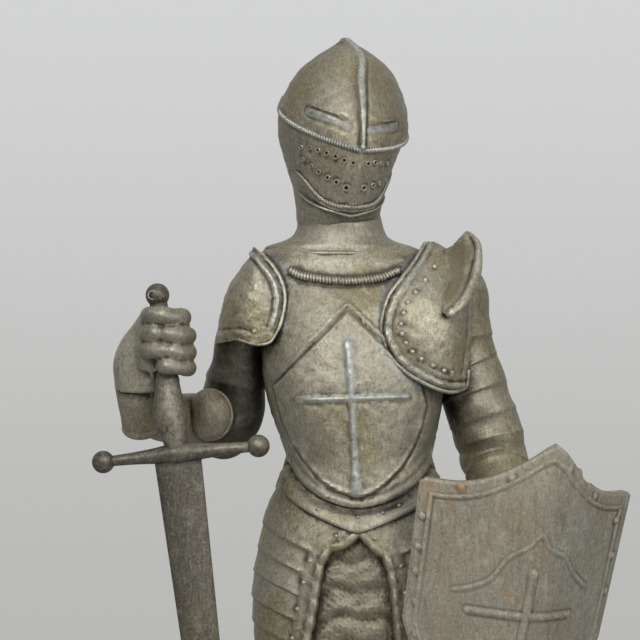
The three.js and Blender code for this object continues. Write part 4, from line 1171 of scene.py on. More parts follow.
    def painted(self, points: Array) -> Layers:
        """Silvered lines, brown skull, calm ventail and a painted shadow line under the neck's rolled ring,
        at places of the figure's skin.

        Args:
            points: the places.

        Returns:
            The layers.
        """
        x, y, z = points.T
        way = np.arctan2(x - self.foot[0] - self.lean * (z - self.foot[2]), self.foot[1] - y) - self.turn
        off = np.abs(np.sin(way - self.keel_angle(z))) * np.hypot(x + 3, y - self.foot[1])
        rise = np.clip((z - 344) / 38, 0, 1)
        keel = ease(0.65 + 0.8 * rise - off, 0.6) * (z > 343) * (np.cos(way) > 0)
        visor = ease(1.3 - np.abs(z - self.visor_edge(way)), 0.5) * (np.abs(way) < 2.1) * (z > 330)
        sight = np.zeros(len(points))
        for side, start, end, _, tall in self.sights:
            past = np.maximum(np.maximum(start - side * way, side * way - end), 0) * 20
            away = np.hypot(past, z - self.sight_line(way))
            sight = np.maximum(sight, ease(0.55 * tall - away, 0.3) * (z > 344) * (y < -5))
        above = z - self.bevor_edge(way)
        bevor = ease(2 - np.abs(above), 0.8) * (z > 322) * (z < 345)
        # Painted shadow under the rolled ring at the neck's foot.
        fold = self.ring_height - np.clip(-y / 15, 0, 1)
        ring_shadow = ease(1.1 - np.abs(z - fold + 1.3), 0.6) * (np.abs(x + 4) < 24) * (y < -8)
        return {
            "silver": np.maximum.reduce([0.8 * keel, 0.45 * visor, 0.6 * sight]),
            "shade_and_dark_tone": np.maximum(0.25 * sight, 0.4 * ring_shadow),
            "brown": 0.22 * ease(z - 344, 8),
            "calm": np.maximum(0.6 * bevor, 0.4 * ease(above, 2) * (z < 346)),
        }


# Shoulders


@dataclass
class Pauldron:
    """Shoulder plate: a dome kept inside an outline, with bands along its rim."""

    name: str
    middle: float
    depth_middle: float
    stations: Rows
    outline: Rows
    rim: slice
    bands: Rows
    side_line: Rows
    band: float
    roll: float
    roll_lift: float
    double_line: float
    rivet_row: float
    rivet_pitch: float
    silver_span: tuple[float, float]
    domes: Rows = ()
    power: float = 2.1
    rim_radius: float = 0.8
    faint_below: float = 0

    def point(self, angle: Array, height: Array, lift: Array | float) -> Array:
        """Point of the dome at an angle and height, 0 being towards the neck."""
        outward, inward, front, back = through(self.stations, height)
        side, ahead = np.cos(angle), np.sin(angle)
        reach = np.where(side > 0, inward, outward) + lift
        depth = np.where(ahead > 0, front, back) + lift
        across = np.sign(side) * np.abs(side) ** (2 / self.power) * reach
        x = self.middle + across * (1 if self.middle < 0 else -1)
        y = self.depth_middle - np.sign(ahead) * np.abs(ahead) ** (2 / self.power) * depth
        return np.stack([x, y, height + np.zeros_like(x)], axis=-1)

    def on_dome(self, x: Array, height: Array, lift: float) -> Array:
        """Places on the dome's front at given x and heights."""
        x, height = np.asarray(x, float), np.asarray(height, float)
        outward, inward, front, _ = through(self.stations, height)
        to_neck = x > self.middle if self.middle < 0 else x < self.middle
        reach = np.minimum(np.abs(x - self.middle) / np.where(to_neck, inward, outward), 0.995)
        y = self.depth_middle - front * (1 - reach**self.power) ** (1 / self.power) - lift
        return np.stack([x, y, height], axis=-1)

    def relief(self, points: Array) -> Array:
        """Lift of the bands along the rim."""
        x, z = points[:, 0], points[:, 2]
        near = distance_to_line(x, z, self.bands)
        strong = 0.2 + 0.8 * ease(z - self.faint_below, 3)
        lift = bead(near - self.band - self.roll, self.roll, self.roll_lift) * strong
        lift = lift + groove(near - self.band - 2 * self.roll - 0.6, 0.5, 0.35) * strong
        if self.double_line:
            lift = lift + bead(near - self.double_line, 0.4, 0.25)
        if self.side_line:
            side = distance_to_line(x, z, self.side_line)
            apart = ease(near - self.band - 2 * self.roll, 1.2)
            lift = lift + (bead(side, 0.7, 0.45) + groove(side - 1.2, 0.4, 0.2)) * apart
        for px, pz, size in self.domes:
            lift = lift + bead(np.hypot(x - px, z - pz), size, 0.45)
            lift = lift + groove(np.hypot(x - px, z - pz) - size - 0.25, 0.25, 0.15)
        return lift

    def build(self) -> list[Solid]:
        """The plate and its rim."""
        low, high = self.stations[0][0], self.stations[-1][0]

        def place(u: Array, v: Array) -> Array:
            """Point at a share round and a share up."""
            angle = turned(u, 0.7, -0.1)
            height = low + (high - low) * v
            bare = self.point(angle, height, 0.0)
            lift = np.where(np.sin(angle) > -0.1, self.relief(bare), 0.0)
            return self.point(angle, height, lift + unevenness(bare, 0.25))

        shell = closed_shell(130, 76, place)
        plate = kept_within(self.name, shell, wall(self.outline, 60, -60))
        line = smooth_path(np.asarray(self.outline)[self.rim], 0.7)
        size = self.rim_radius * (0.65 + 0.35 * ease(line[:, 1] - self.faint_below, 3))
        edge = tube(self.on_dome(line[:, 0], line[:, 1], -0.25), size, FORWARD, 8)
        made = [plate, solid_object("rim", edge)]
        if self.rivet_row:
            made.append(solid_object("rivets", self.rivets()))
        return made

    def rivets(self) -> Shell:
        """Rivets along the rim at an even pitch, inside the outline."""
        line = smooth_path(np.asarray(self.outline)[self.rim], self.rivet_pitch)
        run = np.gradient(line, axis=0)
        run /= np.linalg.norm(run, axis=1)[:, None]
        inward = np.stack([-run[:, 1], run[:, 0]], axis=-1)
        test = line + inward * self.rivet_row
        if np.mean(depth_inside(test[:, 0], test[:, 1], self.outline)) < 0:
            inward = -inward
        spots = line[1:-1] + inward[1:-1] * self.rivet_row
        return studs(self.on_dome(spots[:, 0], spots[:, 1], -0.35), 0.95)

    def painted(self, points: Array) -> Layers:
        """Silvered roll along the rim, at places of the figure's skin."""
        x, y, z = points.T
        near = distance_to_line(x, z, self.bands) - self.band - self.roll
        start, end = self.silver_span
        shown = (x > start) * (x < end) * (y < -5) * (z > 262) * (z < 316)
        edge = ease(self.roll + 0.2 - np.abs(near), 0.5) * ease(z - self.faint_below, 3)
        return {"silver": 0.45 * edge * shown}


def sword_pauldron() -> Pauldron:
    """Shoulder plate of the sword arm."""
    return Pauldron(
        name="sword_pauldron", middle=-30, depth_middle=1,
        stations=(
            (276, 15.4, 16, 19.4, 19), (284, 14.4, 16, 20.2, 20), (290, 13.3, 16, 20.4, 20.4),
            (296, 11.8, 16, 20, 20.4), (301, 9.6, 15.5, 18.8, 19.6), (306, 6.2, 14, 16.4, 17.6),
            (310, 3.3, 11, 13, 14.4), (312.6, 2.4, 8, 9.4, 10.6),
        ),
        outline=(
            (-50, 279.6), (-36.6, 282), (-29.6, 280.4), (-26.4, 281.2), (-24.2, 284.4), (-22.2, 290),
            (-21.6, 296), (-22.6, 301), (-25.2, 305.6), (-29.4, 310.4), (-32.6, 313.6), (-34, 318),
            (-50, 318),
        ),
        rim=slice(1, 10),
        bands=(
            (-50, 280.8), (-36.6, 282), (-29.6, 280.4), (-26.4, 281.2), (-24.2, 284.4), (-22.2, 290),
            (-21.6, 296), (-22.6, 301), (-25.2, 305.6), (-29.4, 310.4), (-32.6, 313.6), (-34, 318),
        ),
        side_line=(), band=1.5, roll=0.8, roll_lift=0.75, double_line=0, rivet_row=0, rivet_pitch=5,
        silver_span=(-99, -20.5), domes=((-27.9, 285.6, 0.85), (-31.6, 284.6, 0.8)), faint_below=284,
    )


def shield_pauldron() -> Pauldron:
    """Shoulder plate of the shield arm."""
    return Pauldron(
        name="shield_pauldron", middle=24, depth_middle=0,
        stations=(
            (262, 17, 24, 21.4, 15), (272, 17.4, 24, 25.2, 16.4), (282, 17.8, 24, 27.2, 17.6),
            (290, 18, 24, 26.8, 18), (297, 17.6, 24, 24.2, 18), (303, 15.4, 22, 20.2, 17),
            (308, 12.4, 18, 15.6, 15), (312, 8.6, 10, 10.6, 11), (314.4, 4.4, 5, 6.4, 7),
        ),
        outline=(
            (25.4, 318), (24.8, 313.6), (21.4, 308), (16.8, 302), (12.6, 296.3), (10.6, 290.3),
            (10, 285.3), (11.2, 280.3), (14, 275.3), (18.3, 271.3), (23.3, 268.3), (28.3, 266),
            (33.3, 265), (37.4, 266.2), (38.7, 272), (40, 282), (40.6, 292), (40.4, 299), (42, 318),
        ),
        rim=slice(1, 15),
        bands=(
            (25.4, 318), (24.8, 313.6), (21.4, 308), (16.8, 302), (12.6, 296.3), (10.6, 290.3),
            (10, 285.3), (11.2, 280.3), (14, 275.3), (18.3, 271.3), (23.3, 268.3), (28.3, 266),
            (33.3, 265), (40, 265.4),
        ),
        side_line=((39.6, 299), (39.7, 292), (39.1, 282), (37.8, 272), (36.6, 267.4)),
        band=0.9, roll=0.85, roll_lift=0.85, double_line=4.1, rivet_row=6.3, rivet_pitch=4.9,
        silver_span=(8, 37.5),
    )


@dataclass
class Wing:
    """Upstanding guard of the neck on the shield side."""

    root: Rows = (
        (30.7, -9, 311.5), (31.6, -12.4, 309), (32.2, -16, 306), (31.2, -20.4, 300.5),
        (29.6, -24.4, 295.2), (28.9, -26, 291.6),
    )
    edge: Rows = (
        (38.7, -9, 317.7), (41.8, -12.4, 313.6), (41.9, -16, 308.4), (39.8, -21.4, 300),
        (36, -26, 293.8), (31.2, -28.8, 289.6),
    )
    thickness: float = 2.0
    sink: float = 3
    rim_radius: float = 1.75
    hollow: float = 1.9
    face: Rows = (
        (30.6, 310.6), (37.2, 315.6), (38.8, 312), (38.6, 307), (36.8, 300), (33.6, 295), (30.4, 292.4),
        (29.6, 295.6), (31.6, 301), (32.2, 306),
    )

    def build(self) -> list[Shell]:
        """The blade of the wing and its rolled edge."""
        count = 36
        root = smooth_path(self.root, 0.1)
        edge = smooth_path(self.edge, 0.1)
        root = root[np.rint(np.linspace(0, len(root) - 1, count + 1)).astype(int)]
        edge = edge[np.rint(np.linspace(0, len(edge) - 1, count + 1)).astype(int)]
        across = edge - root
        across /= np.linalg.norm(across, axis=1)[:, None]
        along = np.gradient(root, axis=0)
        normal = np.cross(across, along)
        normal /= np.linalg.norm(normal, axis=1)[:, None]
        sunk = root - across * self.sink

        def place(u: Array, v: Array) -> Array:
            """Point round the blade's section and along the wing."""
            row = np.rint(v * count).astype(int)
            angle = 2 * np.pi * u
            reach = (1 - np.cos(angle)) / 2
            bulge = self.hollow * np.sin(np.pi * reach)
            side = np.sign(np.sin(angle)) * np.abs(np.sin(angle)) ** 0.4 * self.thickness / 2
            base = sunk[row] + (edge[row] - sunk[row]) * reach[:, None]
            return base + normal[row] * (side + bulge)[:, None]

        line = smooth_path(self.edge, 0.5)
        share = np.linspace(0, 1, len(line))
        ends = np.sqrt(np.clip(1 - np.abs(2 * share - 1) ** 12, 0.02, 1))
        size = self.rim_radius * (0.5 + 0.5 * ease(share, 0.55)) * ends
        return [closed_shell(28, count, place), tube(line, size, UP, 14)]

    def painted(self, points: Array) -> Layers:
        """Brown face of the wing, at places of the figure's skin."""
        x, y, z = points.T
        return {"brown": 0.75 * ease(depth_inside(x, z, self.face) + 0.2, 1.2) * ease(-4 - y, 3)}


# Arms


@dataclass
class Arms:
    """Both arms, with the gauntlet of the sword hand."""

    sword_upper: Rows = (
        (-31, 1, 294, 9, 11, 11, 2), (-36, 5, 281, 9, 10.5, 10.5, 2),
        (-37.2, 7.6, 273, 8.9, 9.8, 9.8, 2.2), (-38.6, 9, 266, 10.2, 9.6, 9.6, 2.2),
        (-39.6, 10.6, 258, 10.8, 9.6, 9.6, 2), (-40.8, 11.6, 251, 9, 9, 9, 2),
        (-41.6, 12, 246.4, 5.6, 6, 6, 2),
    )
    sword_elbow: Point = (-42.6, 12, 251.4)
    sword_fore: Rows = (
        (-43, 11, 252.4, 9.6, 10, 10, 2), (-52, 4.4, 254, 10, 10, 10, 2),
        (-58.6, -2, 255.6, 8.5, 8.5, 8.5, 2.2),
        (-63.4, -7.4, 256.8, 8, 8, 8, 2.2), (-66, -10.6, 257.6, 6.6, 7, 7, 2.2),
    )
    vambrace: Rows = (
        (-69, -13, 251.8, 5.2, 6, 6, 2.2), (-69, -13.8, 253.4, 5.9, 6.9, 6.9, 2.3),
        (-69.1, -15.8, 257.6, 6.3, 7.4, 7.4, 2.4), (-69.2, -18.6, 262.4, 7, 8, 8, 2.4),
        (-69.4, -21.4, 268, 7.6, 8.4, 8.4, 2.3),
    )
    shield_upper: Rows = (
        (32, 3, 305, 8, 9, 9, 2), (33.4, 3, 300, 11.4, 12, 12, 2), (34.4, 3, 287.6, 12.2, 13.4, 13.4, 2),
        (36.6, 4, 277, 12, 12.8, 12.8, 2), (40, 5, 269, 11.6, 12, 12, 2),
        (43.2, 6, 259.6, 11.2, 12, 12, 2), (47, 7, 248, 11.4, 11.6, 11.6, 2),
        (48, 6.8, 243, 10.4, 10.8, 10.8, 2),
    )
    shield_elbow: Point = (48, 7, 242)
    shield_fore: Rows = (
        (48.6, 8, 244, 10.6, 10.6, 10.6, 2), (50.4, 0, 234, 10.2, 10.2, 10.2, 2),
        (53, -8, 226, 9, 9, 9, 2), (55.6, -16, 219.6, 7.4, 7.4, 7.4, 2),
    )
    couter: Point = (-46.4, -4.6, 257)
    couter_half: Point = (7.9, 5.8, 8.8)
    fist_voxel: float = 0.5
    # Painted shade round the sword arm's elbow.
    elbow_shade_spots: Rows = ((-45, -8, 258, 8, 0.5), (-60, -8, 262, 7, 0.6), (-42, -8, 264, 5, 0.3))

    def sword_arm(self) -> list[Shell]:
        """Upper arm, elbow, forearm and the disc of the couter."""
        upper = lames(np.array([0, 28.6, 60]), 0.45, 0.15)

        def rolled(along: Array, angle: Array) -> Array:
            """Lift of the rolled lower rim of the vambrace."""
            return bead(along - 1.2, 1.0, 0.4) + groove(along - 3.0, 0.7, 0.2)

        x, y, z = self.couter
        rim_turn = np.linspace(0, 2 * np.pi, 49)
        rim = np.stack([
            x + 7.2 * np.cos(rim_turn), y - 1.4 - 0.8 * np.cos(rim_turn), z + 8.2 * np.sin(rim_turn),
        ], axis=-1)
        return [
            limb(self.sword_upper, FORWARD, 56, 0.7, upper),
            ball(self.sword_elbow, (9.8, 10.2, 10), 0, 32, 24),
            limb(self.sword_fore, UP, 56, 0.7),
            limb(self.vambrace, FORWARD, 56, 0.6, rolled),
            ball(self.couter, self.couter_half, 0, 48, 36),
            tube(rim, 0.5, FORWARD, 8, closed=True),
        ]

    def shield_arm(self) -> list[Shell]:
        """Upper arm with its lames, elbow, forearm and hand."""
        lengths = station_lengths(self.shield_upper)
        plates = lames(np.array([0, 24, 33.4, 42.4, 51.6, lengths[-2]]), 1.1, 0.35)
        fore = lames(np.array([0, 9, 20, 30]), 0.6, 0.25)

        def fold(along: Array, angle: Array) -> Array:
            """Lift of the worn plates, which fade out in places, and of the folds between them."""
            shown = 0.3 + 0.7 * ease(0.5 + 0.5 * np.sin(1.3 * angle + 0.17 * along))
            wave = 0.45 * np.sin(0.55 * along + 1.9 * np.sin(1.2 * angle + 0.4)) * ease(along - 26, 8)
            front = 0.3 + 0.7 * np.sin(angle) ** 2
            return (plates(along + 1.6 * np.sin(1.2 * angle - 0.3), angle) * shown + wave) * front

        return [
            limb(self.shield_upper, FORWARD, 72, 0.6, fold),
            ball(self.shield_elbow, (11.3, 11.6, 9.6), 0, 36, 26),
            limb(self.shield_fore, UP, 52, 0.7, fore),
            ball((57, -21, 215.6), (7.2, 8.4, 7), 0, 24, 16),
        ]

    def gauntlet(self) -> Solid:
        """Fist with plump fingers, cast as one soft form."""
        cuff_rows = (
            (-66.2, -28.4, 290.6, 1.8, 4, 4, 2.2), (-66.6, -27.6, 286, 4.4, 5.8, 5.8, 2.3),
            (-67.2, -26.2, 280.6, 7.6, 7.4, 7.4, 2.6), (-67.9, -24.4, 274, 9.3, 8, 8, 2.8),
            (-68.2, -22.9, 268.4, 8.7, 8, 8.4, 2.5), (-68.2, -22.4, 266.2, 8.4, 7.8, 8.4, 2.4),
        )
        cuff_end = station_lengths(cuff_rows)[-1]
        cuff = limb(cuff_rows, FORWARD, 48, 0.6,
                    lambda along, angle: bead(cuff_end - along - 0.9, 0.9, 0.25))
        palm = limb((
            (-60.6, -30.4, 291.4, 4, 4, 4, 2), (-61.6, -30.4, 288.6, 6, 6.4, 6.4, 2.6),
            (-62.4, -30.2, 281, 7.4, 7.6, 7.6, 2.8), (-62.6, -29, 272.6, 6.6, 6.6, 6.6, 2.6),
        ), FORWARD, 32, 0.8)
        shells = [cuff, palm]
        ridge = smooth_path((
            (-65.4, -32.4, 288.6), (-66.6, -34, 283), (-66.3, -34.6, 277), (-64.8, -34.6, 273.2),
            (-63.8, -33.6, 269.4),
        ), 0.6)
        swell = np.sin(np.linspace(0.35, 2.9, len(ridge))) ** 0.5
        shells.append(tube(ridge, 1.25 * swell, FORWARD, 10, flat=0.8))
        heights, radii = (289.8, 284, 278.6, 273.6), (2.95, 3.0, 2.85, 2.6)
        creases, depths = (-61.5, -60.6, -58.7, -54.6), (0.05, 0.26, 0.24, 0.1)
        for i, (height, radius) in enumerate(zip(heights, radii)):
            tuck = 2 if i == 0 else 0
            path = [
                (-65, -33, height), (-64.4, -38.6, height + 0.2), (-60 + i * 0.3, -41, height + 0.1),
                (-55.2 - tuck, -40.2, height - 0.4), (-52.6 - tuck, -36.4, height - 0.6),
                (-53.2 - tuck, -31.6, height - 0.6), (-57, -28, height - 0.4),
            ]
            if i == 3:
                path = [(-59.4, -33, height), *path[2:]]
            line = smooth_path(path, 0.6)
            joint = np.exp(-(((line[:, 0] - creases[i]) / 0.8) ** 2)) * (line[:, 1] < -34)
            plump = 0.07 * np.sin(0.9 * line[:, 0] + 1.7 * i)
            shells.append(tube(line, radius * (1.02 - depths[i] * joint + plump), UP, 16))
        thumb = smooth_path(((-65, -25.6, 279), (-60.6, -24, 283), (-56, -26.4, 286), (-54.4, -30, 287)), 0.7)
        shells.append(tube(thumb, 2.8, UP, 12))
        return softened(united("fist", shells), self.fist_voxel, 3)

    def painted(self, points: Array) -> Layers:
        """Painted shade over the sword arm, the fist and round the elbow, and the calm fist, at places of the
        figure's skin.
        """
        x, y, z = points.T
        # Painted shade over the sword arm, which lies in shadow.
        arm_shade = ease(-24.5 - x, 3) * ease(x + 50, 5) * ease(284 - z, 6) * ease(z - 236, 6) * ease(y + 8, 5)
        fist = ease(-49 - x, 2) * ease(z - 268, 3) * ease(-30 - y, 3)
        shade_and_dark_tone = np.maximum.reduce([0.9 * arm_shade, 0.2 * fist, spots(points, self.elbow_shade_spots)])
        return {"shade_and_dark_tone": shade_and_dark_tone, "calm": 0.7 * fist}


# Legs


@dataclass
class Leg:
    """Thigh plates, knee cop, greave and lamed shoe."""

    outward: float
    foot_turn: float
    hip: Point
    knee: Point
    ankle: Point
    thigh: Rows = (
        (0, 15.6, 16.6, 17), (0.4, 14.8, 16, 15.6), (0.66, 13.2, 14, 13), (0.84, 12.6, 13.2, 11.4),
        (0.94, 12.6, 13.6, 11.2),
    )
    shin: Rows = (
        (0.06, 10.6, 11.4, 10.6, 0), (0.13, 12, 12.6, 10.8, 0), (0.15, 10.6, 11, 11.4, 0.4),
        (0.31, 11.6, 10.8, 13.6, 0.6), (0.57, 9, 9, 10.4, 0.4), (0.85, 7.4, 7.6, 8.4, 0),
        (1, 8.2, 9, 9, 0),
    )
    shoe_stations: Rows = (
        (-13.5, 4.6, 8), (-11, 7, 15), (-4, 8.8, 21), (4, 9.2, 20), (12, 9.6, 16.4), (20, 10.2, 13.2),
        (28, 10, 10.6), (35, 8.2, 8.6), (40, 5, 6.6), (42.4, 1.6, 4.6),
    )

    def between(self, start: Sequence[float], end: Sequence[float], t: float,
                behind: float = 0.0) -> Point:
        """Point on the way between two joints."""
        x, y, z = (a + (b - a) * t for a, b in zip(start, end))
        return x, y + behind, z

    def column(self) -> Shell:
        """Thigh and greave as one loft with the thigh's plates."""
        rows = [(*self.between(self.hip, self.knee, t), w, f, b, 2) for t, w, f, b in self.thigh]
        rows += [(*self.between(self.knee, self.ankle, t, off), w, f, b, 2)
                 for t, w, f, b, off in self.shin]
        lengths = station_lengths(rows)
        plates = lames(np.array([0, 30, lengths[2], lengths[3], lengths[4], lengths[-1] + 60]), 0.7, 0.35)
        ridge_start = lengths[6]

        def relief(along: Array, angle: Array) -> Array:
            """Plates of the thigh, then the ridge and edge roll of the greave."""
            thigh = plates(along, angle) * (along < lengths[4])
            ridge = 0.7 * np.exp(-(((angle - np.pi / 2) / 0.16) ** 2)) * ease(along - ridge_start, 8)
            ankle = bead(lengths[-1] - along - 1.2, 1.2, 0.8)
            return thigh + ridge + ankle

        return limb(rows, FORWARD, 56, 1.0, relief)

    def cop(self) -> list[Shell]:
        """Knee cop with its centre ridge and side wing."""
        x, y, z = self.knee
        cap = ball(self.knee, (12, 13.6, 10.4), 0, 40, 28)
        for vertex in cap.verts:
            across = (vertex.co.x - x) / 12
            up = (vertex.co.z - z) / 10.4
            if vertex.co.y < y:
                crest = 1.1 * math.exp(-((across / 0.16) ** 2))
                band = 0.5 * math.exp(-(((abs(up) - 0.55) / 0.1) ** 2))
                vertex.co.y -= (crest + band) * (1 - min(abs(up), 1) ** 2)
        turn = np.linspace(0, 2 * np.pi, 41)
        side = x + self.outward * 12.4
        rim = np.stack([side + 0 * turn, y + 1 + 8.0 * np.cos(turn), z + 8.8 * np.sin(turn)], axis=-1)
        return [
            cap,
            ball((x + self.outward * 11, y + 1, z), (3.2, 8.6, 9.4), 0, 28, 20),
            tube(rim, 0.7, SIDEWAYS, 8, closed=True),
            ball((x + self.outward * 13.6, y + 1, z), (1.6, 2, 2), 0, 16, 10),
        ]

    def shoe(self) -> Shell:
        """Shoe whose lames step over the foot."""
        along = np.array([math.sin(self.foot_turn), -math.cos(self.foot_turn)])
        across = np.array([math.cos(self.foot_turn), math.sin(self.foot_turn)])
        first, last = self.shoe_stations[0][0], self.shoe_stations[-1][0]
        edges = np.array([first, 6, 11.5, 17, 22.5, 28, 33, last])
        plates = lames(edges, 0.7, 0.3)

        def place(u: Array, v: Array) -> Array:
            """Point at a share round and a share from heel to toe."""
            reach = first + (last - first) * v
            half, tall = through(self.shoe_stations, reach)
            angle = 2 * np.pi * u
            lift = np.where(reach > 4, plates(reach, angle), 0) * (np.sin(angle) > 0)
            side = np.sign(np.cos(angle)) * np.abs(np.cos(angle)) ** 0.87 * (half + lift * 0.4)
            rise = np.where(np.sin(angle) > 0, np.abs(np.sin(angle)) ** 0.87 * (tall + lift), 0)
            x = self.ankle[0] + along[0] * reach + across[0] * side
            y = self.ankle[1] + along[1] * reach + across[1] * side
            return np.stack([x, y, rise], axis=-1)

        return closed_shell(48, 80, place)

    def shells(self) -> list[Shell]:
        """All shells of the leg."""
        return [self.column(), *self.cop(), self.shoe()]


# Sword


@dataclass
class Sword:
    """Sword held point down: pommel, grip, guard and blade."""

    top: Point = (-62.4, -33, 296.4)
    lean: float = 0.1256
    forward: float = 0.018
    guard: float = 245.4
    quillons: Rows = ((-79.9, -32.6, 242.6), (-29.8, -35.4, 247.9))
    root_width: float = 15.4
    tip_width: float = 3
    thickness: float = 4.2
    pommel: float = 3.85
    ball: float = 3.65
    grip: float = 3.55
    bow: float = 0.8
    grip_profile: Rows = (
        (296.4, 0.8), (290, 0.86), (286, 1), (272, 0.98), (268.4, 1.06), (262.6, 1.34), (257.6, 1.46),
        (253, 1.34), (249.4, 1.08), (246.4, 0.95), (244, 0.7),
    )
    point_start: float = 14

    def place(self, height: Array) -> Array:
        """Places on the sword's axis at given heights."""
        height = np.asarray(height, float)
        down = self.top[2] - height
        x, y, _ = self.top
        x = x - self.bow * np.exp(-(((height - 259) / 8) ** 2))
        return np.stack([x + self.lean * down, y - self.forward * down, self.top[2] - down], axis=-1)

    def blade(self) -> Shell:
        """Blade of a flattened diamond section with a soft centre ridge."""

        def place(u: Array, v: Array) -> Array:
            """Point round the section and up the blade."""
            height = (self.guard + 1) * v
            low = self.tip_width + (self.root_width - self.tip_width) * 0.1
            run = np.clip((height - self.point_start) / (self.guard - self.point_start), 0, 1)
            width = low + (self.root_width - low) * run
            point = np.clip(height / self.point_start, 0, 1)
            width = self.tip_width * 0.5 + (width - self.tip_width * 0.5) * point**0.8
            thick = self.thickness * (0.5 + 0.5 * run) * (0.6 + 0.4 * point)
            angle = 2 * np.pi * u
            across = np.sign(np.cos(angle)) * np.abs(np.cos(angle)) ** 1.55
            deep = np.sign(np.sin(angle)) * np.abs(np.sin(angle)) ** 1.25
            centre = self.place(height)
            centre[:, 0] += across * width / 2
            centre[:, 1] -= deep * thick / 2
            return centre

        return closed_shell(24, 150, place)

    def handle(self) -> Shell:
        """Grip with its bulge above the guard."""
        height = np.linspace(296.4, 243, 90)
        (swell,) = through(self.grip_profile, height)
        ring = 1 + 0.05 * np.exp(-(((height - 269) / 0.7) ** 2))
        return tube(self.place(height), self.grip * swell * ring, FORWARD, 24)

    def cross_guard(self) -> list[Shell]:
        """Tapered guard with a central ridge and a ball at each end."""
        left, right = (np.asarray(end) for end in self.quillons)
        middle = self.place(np.array([self.guard]))[0]
        shares = np.linspace(-1, 1, 61)
        table = ((-1, 1.6), (-0.5, 2.15), (-0.2, 2.9), (0, 3.8), (0.2, 2.9), (0.5, 2.15), (1, 1.6))
        (half,) = through(table, shares)
        path = np.where(
            shares[:, None] < 0, middle + (left - middle) * -shares[:, None],
            middle + (right - middle) * shares[:, None])
        size = np.repeat(half[:, None], 17, axis=1)
        turn = np.linspace(0, 2 * np.pi, 17)
        size = size * (1 + 0.16 * np.exp(-(((turn - np.pi) / 0.25) ** 2)))[None, :]
        shells = [tube(path, size, UP, 16)]
        for end in (left, right):
            collar = middle + (end - middle) * 0.93
            shells.append(ball(end, (self.ball,) * 3, 0, 28, 20))
            shells.append(ball(collar, (0.9, 2.3, 2.3), 0, 16, 12))
        return shells

    def head(self) -> list[Shell]:
        """Pommel with a ringed dimple in its front."""
        x, y, z = self.top
        turn = np.linspace(0, 2 * np.pi, 25)
        ring = np.stack([
            x - 1.4 + 1.35 * np.cos(turn), np.full(25, y - 3.2), z + 1.35 * np.sin(turn),
        ], axis=-1)
        return [ball(self.top, (self.pommel,) * 3, 0, 32, 24), tube(ring, 0.35, FORWARD, 6, closed=True)]

    def painted(self, mesh: Mesh) -> Layers:
        """Layer of the grip, which is rubbed paler than the rest."""
        height = vertex_places(mesh)[:, 2]
        return {"polish_and_highlight": 0.6 * ease(height - 246, 4) * ease(272 - height, 4)}

    def build(self) -> Solid:
        """Joins the sword."""
        return united("sword_casting", [
            self.blade(), self.handle(), *self.cross_guard(), *self.head()])


# Shield


